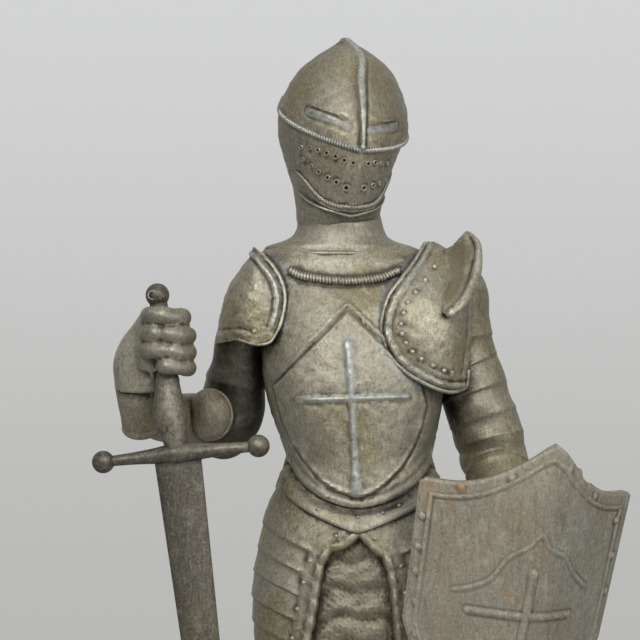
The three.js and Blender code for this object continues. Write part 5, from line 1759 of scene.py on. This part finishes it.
@dataclass
class Shield:
    """Heater shield folded along its middle, with a border, a gabled line and a plain cross."""

    peak: Point = (66.3, -42, 249.4)
    half: float = 43
    length: float = 116
    thickness: float = 2.8
    fold: float = math.radians(30)
    turn: float = math.radians(20.2)
    lean: float = math.radians(7)
    tilt: float = math.radians(10.2)
    bend: float = 9
    taper: float = 0.0013
    side_end: float = 66
    inner_drop: float = 19.3
    outer_drop: float = 16.2
    hollow: float = 6.2
    point_power: float = 1.75
    border: float = 4.4
    top_border: float = 5.2
    charge_peak: float = 30.8
    charge: Rows = (
        (-26.8, 22.6), (-19.7, 20), (-15.3, 17.4), (-9.5, 8.8), (-2.6, 3.7), (0.8, 0),
        (4, 3.6), (13.5, 7.3), (17, 10.8), (27.5, 17.2),
    )
    cross: Rows = ((0, 43.8), (0, 96))
    bar: Rows = ((-21, 58.8), (0, 57.8), (21, 57))
    rivet_spots: Rows = (
        (-29, 20.4), (-13, 14), (6.5, 8.4), (22, 17.4),
        (-40.6, 32), (-40.8, 42), (-40.6, 50), (-39.6, 60), (-38, 70), (-33.6, 81), (-27, 91),
        (38, 26), (40, 38), (40.4, 50), (39.6, 62), (37, 74), (31.4, 85), (23.6, 95),
    )
    marked_spots: Rows = (
        (-40, 22, 2.4, 0.5), (-40, 27.5, 2, 0.45), (-29, 20.4, 1.8, 0.75), (-7, 51, 1.8, 0.5),
        (-32, 25, 2.2, 0.24), (-31, 32, 2.4, 0.2), (-30.5, 39, 2.6, 0.22), (-30, 46, 2.6, 0.2),
        (-29, 53, 2.6, 0.24), (-29, 61, 2.8, 0.22), (-29, 69, 2.8, 0.2), (-8, 25, 6, 0.18),
        (-22, 42, 7, 0.15), (1, 33, 5, 0.12), (-16, 32, 5, 0.1), (12, 17, 4, 0.1),
    )

    def section(self, round_: Array) -> tuple[Array, Array, Array]:
        """Reach across, depth behind the fold and angle at distances round the bend."""
        steps = 24
        across, behind = np.zeros_like(round_), np.zeros_like(round_)
        for i in range(steps):
            angle = self.fold * np.tanh(round_ * (i + 0.5) / steps / self.bend)
            across = across + np.cos(angle) * round_ / steps
            behind = behind + np.sin(angle) * round_ / steps
        return across, behind, self.fold * np.tanh(round_ / self.bend)

    def place(self, round_: Array, down: Array, lift: Array | float) -> Array:
        """Place on the shield: round the bend, down from its peak, lifted off its face."""
        across, behind, angle = self.section(round_ * (1 - self.taper * down))
        x = across + lift * np.sin(angle)
        y = behind - lift * np.cos(angle)
        z = -down
        x, y = swung(x, y, self.turn)
        y, z = swung(y, z, self.lean)
        z, x = swung(z, x, self.tilt)
        return np.stack([x + self.peak[0], y + self.peak[1], z + self.peak[2]], axis=-1)

    def whole_top(self, round_: Array) -> Array:
        """How far the top edge would lie below the peak without its chips."""
        t = np.abs(round_) / self.half
        drop = np.where(round_ < 0, self.inner_drop, self.outer_drop)
        rounded = 0.9 * np.exp(-((round_ / 2.2) ** 2)) + 1.3 * ease(np.abs(round_) - 40.6, 2.4)
        return drop * t + self.hollow * np.sin(np.pi * np.clip(t, 0, 1)) + rounded

    def top_line(self, round_: Array) -> Array:
        """How far the top edge lies below the peak, with its two chips."""
        line = self.whole_top(round_)
        chip = 0.9 * ease(round_ - 12.6, 0.8) * ease(18.5 - round_, 1.5)
        notch = 1.3 * np.exp(-(((round_ - 17.4) / 0.7) ** 2)) - 0.9 * np.exp(-(((round_ - 11.8) / 0.8) ** 2))
        return line + chip + notch

    def foot_line(self, round_: Array) -> Array:
        """How far the lower edge lies below the peak."""
        t = np.clip(np.abs(round_) / self.half, 0, 1)
        return self.side_end + (self.length - self.side_end) * (1 - t**self.point_power)

    def relief(self, round_: Array, down: Array) -> Array:
        """Lift of the face: border, charge, rivets and the wear of the casting."""
        foot = self.foot_line(round_)
        below = down - self.whole_top(round_)
        side = self.half - np.abs(round_)
        falling = np.clip((down - self.side_end) / (self.length - self.side_end), 0, 1)
        reach = self.half * (1 - falling) ** (1 / self.point_power)
        side = np.minimum(side, np.minimum(reach - np.abs(round_), (foot - down) * 0.75))
        edge = np.minimum(below - (self.top_border - self.border), side)
        lift = bead(edge - self.border, 0.65, 0.4) + groove(edge - self.border - 1.1, 0.6, 0.2)
        lift = lift + 0.22 * ease(self.border - edge, 0.6)
        lift = lift - 0.5 * (1 - ease(np.minimum(down - self.top_line(round_), side) / 0.9))
        gable = [(x, self.charge_peak + y) for x, y in self.charge]
        lift = lift + bead(distance_to_line(round_, down, smooth_path(gable, 1.2)), 0.6, 0.36)
        cross = bead(distance_to_line(round_, down, self.cross), 1.45, 0.5)
        head = bead(np.hypot(round_, down - self.cross[0][1]), 1.9, 0.65)
        bar = bead(distance_to_line(round_, down, self.bar), 1.2, 0.48)
        lift = lift + np.maximum(np.maximum(cross, head), bar)
        near = np.minimum(
            distance_to_line(round_, down, self.cross), distance_to_line(round_, down, self.bar))
        lift = lift + groove(near - 2.3, 0.7, 0.15)
        for x, y in self.rivet_spots:
            lift = np.maximum(lift, bead(np.hypot(round_ - x, down - y), 1.3, 0.75))
        soft = np.sin(0.21 * round_ + 0.4) * np.sin(0.13 * down + 0.8)
        crease = groove(round_ - 9.5, 2.6, 0.35) * ease(50 - down, 20)
        return lift + 0.22 * soft + crease

    def plate(self) -> Shell:
        """Front and back of the shield as one closed shell."""
        columns, rows = 190, 210

        def place(u: Array, v: Array) -> Array:
            """Point at a share across and a share down and back up."""
            round_ = -self.half + 2 * self.half * v
            step = np.rint(u * 2 * rows)
            front = step < rows
            fall = np.where(front, step, 2 * rows - 1 - step) / (rows - 1)
            top, foot = self.top_line(round_), self.foot_line(round_)
            down = top + (foot - top) * fall
            lift = np.where(front, self.relief(round_, down), -self.thickness)
            rounding = 0.35 * np.sin(np.pi * np.clip(fall, 0, 1)) ** 0.12
            lift = np.where(front, lift, lift + 0.35 - rounding)
            return self.place(round_, down, lift)

        return closed_shell(2 * rows, columns, place)

    def build(self) -> Solid:
        """The shield."""
        return solid_object("shield_casting", self.plate())

    def painted(self, mesh: Mesh) -> Layers:
        """Rust of the rivets and stains, and the face paler towards the top."""
        points = vertex_places(mesh)
        centres = []
        for round_, down, size, strength in self.marked_spots:
            x, y, z = self.place(np.array([round_]), np.array([down]), 0.4)[0]
            centres.append((x, y, z, size, strength))
        peak = self.place(np.zeros(1), np.zeros(1), 0.0)[0]
        return {"rust": spots(points, centres), "polish_and_highlight": 0.4 * ease(points[:, 2] - peak[2] + 24, 14)}


# Plinth


@dataclass
class Plinth:
    """Low base block with a plain foot band and a hollow moulding."""

    width: float = 132
    depth: float = 104
    height: float = 20
    foot: float = 7
    inset: float = 5
    corner: float = 16
    columns: int = 240

    def build(self) -> Solid:
        """The plinth, its profile carried round its outline."""
        edge, cove_top = 0.8, self.height - 3
        profile: list[tuple[float, float]] = [(0.5, 0), (0.1, 0.4), (0, edge)]
        profile += [(0, self.foot - edge), (0.2, self.foot - 0.2), (edge, self.foot)]
        for i in range(1, 11):
            angle = math.pi / 2 * i / 10
            profile.append((edge + (self.inset - edge) * math.sin(angle),
                            self.foot + (cove_top - self.foot) * (1 - math.cos(angle))))
        profile += [(self.inset - 1, cove_top + 0.6), (self.inset - 1, self.height - edge)]
        profile += [(self.inset - 0.75, self.height - 0.25), (self.inset, self.height)]
        table = np.asarray(profile)
        rings = len(table) - 1
        inner = 10

        def place(u: Array, v: Array) -> Array:
            """Point round the outline and up the profile, then in over the top."""
            step = np.rint(v * (rings + inner))
            row = np.minimum(step, rings).astype(int)
            inset, height = table[row, 0], table[row, 1]
            shrink = 1 - np.clip((step - rings) / (inner + 1), 0, 1)
            half_x, half_y = self.width / 2 - inset, self.depth / 2 - inset
            radius = np.maximum(self.corner - inset, 2)
            turn = u * 4
            quarter = np.minimum(np.floor(turn), 3)
            part = turn - quarter
            arc = np.clip((part - 0.25) / 0.5, 0, 1)
            angle = (quarter + arc) * np.pi / 2
            sx = np.where((quarter == 0) | (quarter == 3), 1, -1)
            sy = np.where(quarter < 2, 1, -1)
            x = sx * (half_x - radius) + radius * np.cos(angle)
            y = sy * (half_y - radius) + radius * np.sin(angle)
            before = np.clip((0.25 - part) / 0.25, 0, 1)
            after = np.clip((part - 0.75) / 0.25, 0, 1)
            even = (quarter % 2) == 0
            y = y - np.where(even, before * (half_y - radius) * sy, 0)
            x = x - np.where(even, after * (half_x - radius) * sx, 0)
            x = x - np.where(even, 0, before * (half_x - radius) * sx)
            y = y - np.where(even, 0, after * (half_y - radius) * sy)
            return np.stack([x * shrink, y * shrink, height + 0 * x - SOLE_HEIGHT], axis=-1)

        return solid_object("plinth_casting", closed_shell(self.columns, rings + inner, place))

    def painted(self, mesh: Mesh) -> Layers:
        """The plinth has no painted layers."""
        return {}


# Surface reading


@dataclass(frozen=True)
class Reader:
    """Reads how exposed and how hollow each place of a mesh is."""

    rays: int = 12
    reach: float = 0.011
    fine: float = 0.45
    broad: float = 0.16
    start: float = 0.00012

    def neighbours(self, mesh: Mesh) -> tuple[Array, Array, Array]:
        """Both ends of each edge, and how many edges meet at each vertex."""
        ends = np.zeros(len(mesh.edges) * 2, np.int32)
        mesh.edges.foreach_get("vertices", ends)
        a, b = ends[0::2], ends[1::2]
        count = np.bincount(a, minlength=len(mesh.vertices)) + np.bincount(b, minlength=len(mesh.vertices))
        return a, b, np.maximum(count, 1)

    @staticmethod
    def averaged(values: Array, a: Array, b: Array, count: Array) -> Array:
        """Mean of the neighbours' values."""
        total = len(count)
        out = np.empty_like(values)
        for k in range(values.shape[1]):
            column = values[:, k]
            out[:, k] = (np.bincount(a, column[b], total) + np.bincount(b, column[a], total)) / count
        return out

    def blurred(self, values: Array, links: tuple[Array, Array, Array], rounds: int) -> Array:
        """Numbers of the vertices, each mixed with its neighbours' for some rounds."""
        column = values[:, None]
        for _ in range(rounds):
            column = 0.5 * column + 0.5 * self.averaged(column, *links)
        return column[:, 0]

    def wear(self, mesh: Mesh, points: Array, normals: Array) -> Array:
        """How sharply each place stands out from its surroundings, from -1 to 1."""
        links = self.neighbours(mesh)
        a, b, count = links
        run = (np.linalg.norm(points[a] - points[b], axis=1) / METRES) ** 2
        total = len(points)
        size = (np.bincount(a, run, total) + np.bincount(b, run, total)) / count
        size = np.maximum(self.blurred(size, links, 3), 0.03)
        smooth = points.copy()
        readings = []
        for round_ in range(1, 13):
            smooth = 0.3 * smooth + 0.7 * self.averaged(smooth, *links)
            if round_ in (3, 12):
                out = np.einsum("ij,ij->i", points - smooth, normals) / METRES
                readings.append(self.blurred(2 * out / (0.7 * round_ * size), links, 2))
        fine, broad = readings
        local = broad - self.blurred(broad, links, 30)
        return 0.5 * np.tanh(fine / self.fine) + 0.5 * np.tanh(local / self.broad)

    def hollow(self, mesh: Mesh, points: Array, normals: Array) -> Array:
        """Share of the sky that near surfaces hide from each place."""
        faces = [tuple(face.vertices) for face in mesh.polygons]
        tree = BVHTree.FromPolygons([tuple(p) for p in points], faces)
        spread = []
        for i in range(self.rays):
            tall = 1 - (i + 0.5) / self.rays * 0.92
            angle = i * GOLDEN_ANGLE
            flat = math.sqrt(1 - tall * tall)
            spread.append((flat * math.cos(angle), flat * math.sin(angle), tall))
        local = np.asarray(spread)
        helper = np.where(np.abs(normals[:, 2:3]) < 0.9, np.array([[0.0, 0, 1]]), np.array([[1.0, 0, 0]]))
        right = unit(np.cross(normals, helper))
        front = np.cross(normals, right)
        out = np.zeros(len(points))
        weight = local[:, 2] / local[:, 2].sum()
        starts = points + normals * self.start
        for i, (x, y, z) in enumerate(local):
            ways = right * x + front * y + normals * z
            for k in range(len(points)):
                hit = tree.ray_cast(starts[k], ways[k], self.reach)
                if hit[3] is not None:
                    out[k] += weight[i] * (1 - 0.6 * hit[3] / self.reach)
        return out

    def mark(self, piece: Solid) -> None:
        """Writes both readings on a piece."""
        mesh = piece.data
        points = vertex_places(mesh)
        normals = np.zeros(points.size)
        mesh.vertex_normals.foreach_get("vector", normals)
        normals = normals.reshape(-1, 3)
        write_layer(mesh, "wear", self.wear(mesh, points, normals))
        write_layer(mesh, "hollow", self.hollow(mesh, points, normals))


# Finishes


class Nodes:
    """Short ways to add and join the nodes of one tree."""

    def __init__(self, tree: bpy.types.NodeTree, space: str) -> None:
        """Starts with a tree and the space that its coordinates are read in."""
        self.tree = tree
        self.coordinate = self.add("ShaderNodeTexCoord", {}).outputs[space]

    def fill(self, node: bpy.types.Node, inputs: Inputs) -> bpy.types.Node:
        """Gives the inputs of a node their sockets or numbers."""
        for name, value in inputs.items():
            if isinstance(value, Socket):
                self.join(value, node.inputs[name])
            else:
                node.inputs[name].default_value = value
        return node

    def add(self, kind: str, inputs: Inputs) -> bpy.types.Node:
        """Adds a node of a type with its inputs."""
        return self.fill(self.tree.nodes.new(kind), inputs)

    def join(self, source: Socket, target: Socket) -> None:
        """Links two sockets."""
        self.tree.links.new(source, target)

    def stretched(self, scale: Sequence[float]) -> Socket:
        """Coordinates scaled along each axis."""
        return self.add("ShaderNodeMapping", {"Scale": scale, "Vector": self.coordinate}).outputs["Vector"]

    def noise(self, size: float, detail: float = 4, rough: float = 0.55, warp: float = 0.0,
              vector: Socket | None = None) -> Socket:
        """Noise whose patches are about a size in millimetres."""
        return self.add("ShaderNodeTexNoise", {
            "Scale": 1 / (size * METRES), "Detail": detail, "Roughness": rough, "Distortion": warp,
            "Vector": vector or self.coordinate,
        }).outputs["Fac"]

    def layer(self, name: str) -> Socket:
        """One of the numbers written on the mesh."""
        node = self.add("ShaderNodeAttribute", {})
        node.attribute_name = name
        return node.outputs["Fac"]

    def ramp(self, value: Socket, low: float, high: float, start: float = 0.0, end: float = 1.0) -> Socket:
        """Spreads a range of a value over another one, smoothly."""
        node = self.add("ShaderNodeMapRange", {
            "From Min": low, "From Max": high, "To Min": start, "To Max": end, "Value": value,
        })
        node.interpolation_type = "SMOOTHSTEP"
        return node.outputs["Result"]

    def plus(self, first: Socket, second: Socket | float) -> Socket:
        """Sum of two numbers."""
        node = self.add("ShaderNodeMath", {0: first, 1: second})
        node.operation = "ADD"
        return node.outputs[0]

    def times(self, first: Socket, second: Socket | float) -> Socket:
        """Product of two numbers."""
        node = self.add("ShaderNodeMath", {0: first, 1: second})
        node.operation = "MULTIPLY"
        return node.outputs[0]

    def over(self, under: Socket | Colour, colour: Socket | Colour, share: Socket) -> Socket:
        """Lays a colour over another by a share."""
        node = self.tree.nodes.new("ShaderNodeMix")
        node.data_type = "RGBA"
        below, above = ((*c, 1) if isinstance(c, tuple) else c for c in (under, colour))
        return self.fill(node, {"A": below, "B": above, "Factor": share}).outputs["Result"]

    def bump(self, height: Socket, strength: float, distance: float, onto: Socket | None = None) -> Socket:
        """Bumps a surface by a height, its distance in millimetres."""
        inputs = {"Strength": strength, "Distance": distance * METRES, "Height": height}
        if onto:
            inputs["Normal"] = onto
        return self.add("ShaderNodeBump", inputs).outputs["Normal"]


@dataclass(frozen=True)
class AgedMetal:
    """Aged white metal: dark in its hollows, mottled on its flats and rubbed bright on its edges, with
    painted shade and painted highlights laid on from its layers.
    """

    name: str
    body: Colour
    bloom: Colour
    pale: Colour
    recess: Colour
    worn: Colour
    shade_and_dark_tone: Colour = (0.030, 0.024, 0.018)
    silver: Colour = (0.40, 0.43, 0.44)
    brown: Colour = (0.12, 0.098, 0.055)
    polish_and_highlight: Colour = (0.50, 0.475, 0.37)
    rust: Colour = (0.30, 0.165, 0.06)
    metallic: float = 0.6
    rough: float = 0.52
    rough_worn: float = 0.38
    grain: float = 0.6
    streaks: bool = False

    def make(self) -> bpy.types.Material:
        """Builds the material.

        Returns:
            The finished material.
        """
        material = bpy.data.materials.new(self.name)
        material.use_nodes = True
        shader = material.node_tree.nodes["Principled BSDF"]
        kit = Nodes(material.node_tree, "Object")
        wear, hollow = kit.layer("wear"), kit.layer("hollow")
        broad, middle, small = kit.noise(26, 3), kit.noise(6, 5, 0.6, 0.5), kit.noise(1.7, 6, 0.7, 0.3)
        fine = kit.noise(0.8, 6, 0.75, 0.5)
        brush = kit.noise(0.7, 4, 0.6, 0.3, kit.stretched((1.0, 0.6, 0.22)))
        colour = kit.over(self.body, self.bloom, kit.ramp(broad, 0.42, 0.62))
        colour = kit.over(colour, self.pale, kit.ramp(middle, 0.52, 0.7, 0, 0.5))
        # Paler patches of rubbed metal and painted highlights.
        patch = kit.times(kit.layer("polish_and_highlight"), kit.ramp(small, 0.36, 0.58, 0.25, 1.0))
        colour = kit.over(colour, self.polish_and_highlight, patch)
        colour = kit.over(colour, self.recess, kit.ramp(small, 0.46, 0.3, 0, 0.25))
        colour = kit.over(colour, self.recess, kit.ramp(fine, 0.49, 0.36, 0, 0.5))
        colour = kit.over(colour, self.pale, kit.ramp(fine, 0.52, 0.66, 0, 0.6))
        colour = kit.over(colour, self.recess, kit.ramp(brush, 0.46, 0.32, 0, 0.28))
        colour = kit.over(colour, self.pale, kit.ramp(brush, 0.55, 0.7, 0, 0.4))
        if self.streaks:
            run = kit.noise(1.0, 5, 0.6, 0.2, kit.stretched((0.45, 0.45, 0.06)))
            colour = kit.over(colour, self.recess, kit.ramp(run, 0.47, 0.31, 0, 0.3))
            colour = kit.over(colour, self.pale, kit.ramp(run, 0.57, 0.72, 0, 0.25))
        dirt = kit.plus(hollow, kit.ramp(small, 0.3, 0.7, -0.14, 0.14))
        colour = kit.over(colour, self.recess, kit.ramp(dirt, 0.1, 0.46, 0, 0.95))
        low = kit.plus(kit.times(wear, -1.0), kit.ramp(fine, 0.3, 0.7, -0.12, 0.12))
        colour = kit.over(colour, self.recess, kit.ramp(low, 0.08, 0.6, 0, 0.9))
        colour = kit.over(colour, self.brown, kit.layer("brown"))
        calm = kit.ramp(kit.layer("calm"), 0, 1, 1, 0)
        rubbed = kit.plus(wear, kit.ramp(small, 0.34, 0.64, -0.4, 0.22))
        rub = kit.times(kit.ramp(rubbed, 0.2, 0.95, 0, 0.65), calm)
        colour = kit.over(colour, self.worn, rub)
        plating = kit.times(kit.layer("silver"), kit.ramp(small, 0.34, 0.58, 0.15, 0.95))
        colour = kit.over(colour, self.silver, plating)
        # Painted shade, mostly, with some darker tone: the shaded sword arm and fist, under the chin and the
        # neck ring, creases and under the breastplate's rim.
        shade_and_dark_share = kit.times(kit.layer("shade_and_dark_tone"), kit.ramp(middle, 0.3, 0.7, 1.0, 0.7))
        colour = kit.over(colour, self.shade_and_dark_tone, shade_and_dark_share)
        colour = kit.over(colour, self.rust, kit.layer("rust"))
        kit.join(colour, shader.inputs["Base Color"])
        roughness = kit.ramp(rubbed, 0.0, 0.7, self.rough, self.rough_worn)
        roughness = kit.plus(roughness, kit.ramp(small, 0.3, 0.7, -0.05, 0.07))
        kit.join(roughness, shader.inputs["Roughness"])
        shader.inputs["Metallic"].default_value = self.metallic
        normal = kit.bump(middle, 0.35, 0.6)
        normal = kit.bump(small, 0.55, 0.25, normal)
        normal = kit.bump(fine, self.grain, 0.12, normal)
        kit.join(normal, shader.inputs["Normal"])
        return material


PEWTER = AgedMetal(
    name="aged_pewter", body=(0.26, 0.242, 0.184), bloom=(0.235, 0.203, 0.12), pale=(0.43, 0.413, 0.33),
    recess=(0.05, 0.044, 0.031), worn=(0.50, 0.49, 0.42),
)
SWORD_METAL = AgedMetal(
    name="aged_sword_metal", body=(0.086, 0.078, 0.06), bloom=(0.105, 0.09, 0.062),
    pale=(0.225, 0.211, 0.165), recess=(0.026, 0.022, 0.017), worn=(0.30, 0.28, 0.22),
    polish_and_highlight=(0.30, 0.278, 0.215), streaks=True,
)
SHIELD_METAL = AgedMetal(
    name="aged_shield_metal", body=(0.222, 0.21, 0.162), bloom=(0.218, 0.193, 0.138),
    pale=(0.37, 0.357, 0.30), recess=(0.08, 0.068, 0.05), worn=(0.38, 0.36, 0.30),
    polish_and_highlight=(0.40, 0.375, 0.28), rough=0.66, rough_worn=0.55, metallic=0.3, streaks=True,
)


def finish_casting(piece: Solid, name: str, node: str, slot: str, finish: AgedMetal,
                   painted: Layers) -> None:
    """Scales a casting to metres, dresses it and sets it in the frame.

    Args:
        piece: the joined solid, in millimetres above the soles.
        name: its new name.
        node: the solid that it stands for.
        slot: the record's material slot; not used.
        finish: its finish.
        painted: layers that are painted on it by place, for each vertex.
    """
    mesh = piece.data
    points = vertex_places(mesh)
    points[:, 2] += SOLE_HEIGHT
    mesh.vertices.foreach_set("co", (points * METRES).ravel())
    mesh.update()
    mesh.shade_smooth()
    mesh.set_sharp_from_angle(angle=SHARP_ANGLE)
    Reader().mark(piece)
    for layer in ("shade_and_dark_tone", "silver", "brown", "rust", "polish_and_highlight", "calm"):
        write_layer(mesh, layer, painted.get(layer, np.zeros(len(mesh.vertices))))
    piece.name = name
    mesh.name = name
    mesh.materials.clear()
    mesh.materials.append(finish.make())
    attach(piece, "root")
    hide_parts(node)
    triangles = sum(len(face.vertices) - 2 for face in mesh.polygons)
    log.info("%s: %d triangles", name, triangles)


# The figure


@dataclass
class Knight:
    """The figure as one casting."""

    most_triangles: int = 198000
    body_triangles: int = 104500
    trunk_triangles: int = 40000
    leg_triangles: int = 10000
    fist_triangles: int = 12000
    # Painted shade in the shield elbow's creases, under the chin, between the fingers and at the cuff; darker
    # patches under the breastplate's rim, partly grime and partly painted shade.
    shade_and_dark_spots: Rows = (
        (35, -6, 256, 6, 0.65), (37, -7, 264, 4, 0.45), (40, -6, 247, 6, 0.55), (-4, -14, 320.6, 6, 0.5),
        (2, -15, 319.6, 5, 0.35), (-52.5, -38, 289, 2.2, 0.5), (-52.5, -38, 283.4, 2, 0.45),
        (-52.4, -38, 278, 2, 0.4), (-58, -41, 292, 2.5, 0.4), (-70, -26, 268, 3, 0.25),
        (-16, -22, 232, 6, 0.3), (18, -22, 231, 6, 0.35), (0, -20, 298, 10, 0.14), (-62, -38, 283, 6, 0.25),
    )
    rust_spots: Rows = (
        (20, -21, 240, 3.0, 0.35), (13.7, -24, 214.3, 1.3, 0.6), (33, -26, 268, 2, 0.25),
        (41, -9, 264, 2.5, 0.3), (52, -5, 256, 2.5, 0.35), (55, -5, 236, 2, 0.3),
    )
    # Painted highlights where the light falls brightest: shield shoulder, panel, neck, skull, cuff and the
    # shield arm's folds; partly rubbed metal too.
    highlight_and_polish_spots: Rows = (
        (27, -27, 285, 8, 0.9), (20, -26, 291, 6, 0.4), (30, -26, 276, 7, 0.4), (-14, -26, 271, 12, 0.5),
        (6, -26, 276, 10, 0.35), (-36, -18, 298, 8, 0.35), (-5, -14, 313, 9, 0.6), (-22, -24, 345, 7, 0.3),
        (-8, -18, 366, 9, 0.35), (-72, -30, 279, 8, 0.75), (-74, -27, 272, 6, 0.6), (-72, -22, 257, 5, 0.3),
        (-14, -20, 338, 8, 0.3), (-70, -29, 286, 5, 0.5), (-24, -22, 204, 8, 0.25), (43, -9, 276, 3.2, 0.5),
        (43, -8, 268, 3.6, 0.5), (50, -6, 259.5, 3.6, 0.5),
    )

    def build(self) -> Solid:
        """Joins every part of the figure and leaves the room for the sword and shield."""
        helmet = Helmet().build()
        skirt = Skirt()
        trunk = thinned(united("trunk", Trunk().shells()), self.trunk_triangles)
        under = united("lower", [skirt.mail(), skirt.border(), skirt.rivets()])
        lower = combine(under, skirt.tassets(), Join.ADD)
        arms = Arms()
        limbs = united("limbs", [*arms.sword_arm(), *arms.shield_arm()])
        shoulders = []
        for plate in (sword_pauldron(), shield_pauldron()):
            shoulders += plate.build()
        shoulders += [solid_object("wing", shell) for shell in Wing().build()]
        legs = united("legs", [
            *Leg(-1, math.radians(-22), (-14.6, 1, 190), (-21.4, -3, 107), (-24.4, 5, 14)).shells(),
            *Leg(1, math.radians(26), (19.6, 1, 190), (29.2, -9.4, 107), (34.6, -2, 14)).shells(),
        ])
        legs = thinned(legs, self.leg_triangles)
        gauntlet = thinned(arms.gauntlet(), self.fist_triangles)
        body = trunk
        for other in (lower, legs, limbs, gauntlet):
            body = combine(body, other, Join.ADD)
        body = thinned(body, self.body_triangles)
        for other in (*shoulders, helmet):
            body = combine(body, other, Join.ADD)
        for block in self.room():
            body = combine(body, block, Join.CUT)
        return thinned(body, self.most_triangles)

    def room(self) -> list[Solid]:
        """Solids that keep the sword's grip and the shield clear of the figure."""
        sword, shield = Sword(), Shield()
        height = np.linspace(302, 243, 90)
        (swell,) = through(sword.grip_profile, height)
        bore = tube(sword.place(height), (sword.grip + 0.05) * swell * 1.05 + 0.32, FORWARD, 24)
        rows = 40

        def place(u: Array, v: Array) -> Array:
            """Point round a slab that is a little larger than the shield."""
            wide = shield.half + 1
            round_ = -wide + 2 * wide * v
            step = np.rint(u * 2 * rows)
            front = step < rows
            fall = np.where(front, step, 2 * rows - 1 - step) / (rows - 1)
            top, foot = shield.top_line(round_) - 0.6, shield.foot_line(round_) + 0.6
            lift = np.where(front, 4.0, -shield.thickness - 0.35)
            return shield.place(round_, top + (foot - top) * fall, lift)

        return [solid_object("bore", bore), solid_object("slab", closed_shell(2 * rows, 60, place))]

    def painted(self, mesh: Mesh) -> Layers:
        """Layers of every part of the figure and of the spots on it."""
        points = vertex_places(mesh)
        parts = (Trunk(), Skirt(), Helmet(), sword_pauldron(), shield_pauldron(), Wing(), Arms())
        # Spots of painted shade, rust and painted highlights.
        marked_spots = {
            "shade_and_dark_tone": spots(points, self.shade_and_dark_spots), "rust": spots(points, self.rust_spots),
            "polish_and_highlight": spots(points, self.highlight_and_polish_spots),
        }
        return merged([*(part.painted(points) for part in parts), marked_spots])


# Studio


@dataclass
class Studio:
    """Pale floor, plain surroundings, soft lights and the camera at the photograph's angle."""

    camera_place: Point = (-0.010, -1.0, 0.3087)
    lens: float = 168.75
    surround_low: Colour = (0.485, 0.485, 0.475)
    surround_high: Colour = (0.66, 0.665, 0.665)
    room_low: Colour = (0.16, 0.16, 0.155)
    room_high: Colour = (0.44, 0.44, 0.44)
    floor_colour: Colour = (0.40, 0.405, 0.405)
    floor_radius: float = 1.5

    def build(self) -> None:
        """Makes the floor, the surroundings, the lights and the camera."""
        shell = bmesh.new()
        bmesh.ops.create_circle(shell, cap_ends=True, radius=self.floor_radius, segments=96)
        floor = solid_object("floor", shell)
        material = bpy.data.materials.new("pale_floor")
        material.use_nodes = True
        shader = material.node_tree.nodes["Principled BSDF"]
        shader.inputs["Base Color"].default_value = (*self.floor_colour, 1)
        shader.inputs["Roughness"].default_value = 0.85
        floor.data.materials.append(material)
        world = bpy.data.worlds.new("surround")
        world.use_nodes = True
        kit = Nodes(world.node_tree, "Generated")
        way = kit.add("ShaderNodeSeparateXYZ", {"Vector": kit.coordinate}).outputs
        backdrop = kit.over(self.surround_low, self.surround_high, kit.ramp(way["Z"], -0.12, 0.14))
        room = kit.over(self.room_low, self.room_high, kit.ramp(way["Z"], -0.5, 0.6))
        background = world.node_tree.nodes["Background"]
        kit.join(kit.over(room, backdrop, kit.ramp(way["Y"], 0.55, 0.95)), background.inputs["Color"])
        background.inputs["Strength"].default_value = 1.0
        scene = bpy.context.scene
        scene.world = world
        scene.view_settings.view_transform = "Standard"
        self.light("key", (-0.18, -0.8, 0.74), 0.32, 5.5)
        self.light("fill", (0.8, -0.9, 0.5), 0.6, 5.5)
        self.light("top", (0.1, 0.1, 1.4), 0.7, 2.2)
        lens = bpy.data.cameras.new("camera")
        lens.lens = self.lens
        lens.sensor_width = 36
        lens.clip_start = 0.05
        lens.clip_end = 20
        camera = bpy.data.objects.new("camera", lens)
        camera.location = self.camera_place
        camera.rotation_euler = (math.pi / 2, 0, 0)
        scene.collection.objects.link(camera)
        scene.camera = camera

    def light(self, name: str, place: Point, size: float, power: float) -> None:
        """Adds a soft light that faces the figure.

        Args:
            name: its name.
            place: where it hangs.
            size: length of its sides.
            power: how strong it is.
        """
        lamp = bpy.data.lights.new(name, "AREA")
        lamp.size = size
        lamp.energy = power
        made = bpy.data.objects.new(name, lamp)
        made.location = place
        way = Vector((0, 0, 0.28)) - Vector(place)
        made.rotation_euler = way.to_track_quat("-Z", "Y").to_euler()
        bpy.context.scene.collection.objects.link(made)


def main() -> None:
    """Builds the castings and the studio in order."""
    logging.basicConfig(level=logging.INFO, format="%(name)s %(message)s")
    Studio().build()
    for part, name, node, slot, finish in (
        (Knight(), "knight_dressed", "knight_figure", "pewter", PEWTER),
        (Sword(), "sword_dressed", "sword", "sword_metal", SWORD_METAL),
        (Shield(), "shield_dressed", "shield", "shield_metal", SHIELD_METAL),
        (Plinth(), "plinth_dressed", "plinth", "pewter", PEWTER),
    ):
        piece = part.build()
        finish_casting(piece, name, node, slot, finish, part.painted(piece.data))


if __name__ == "__main__":
    main()
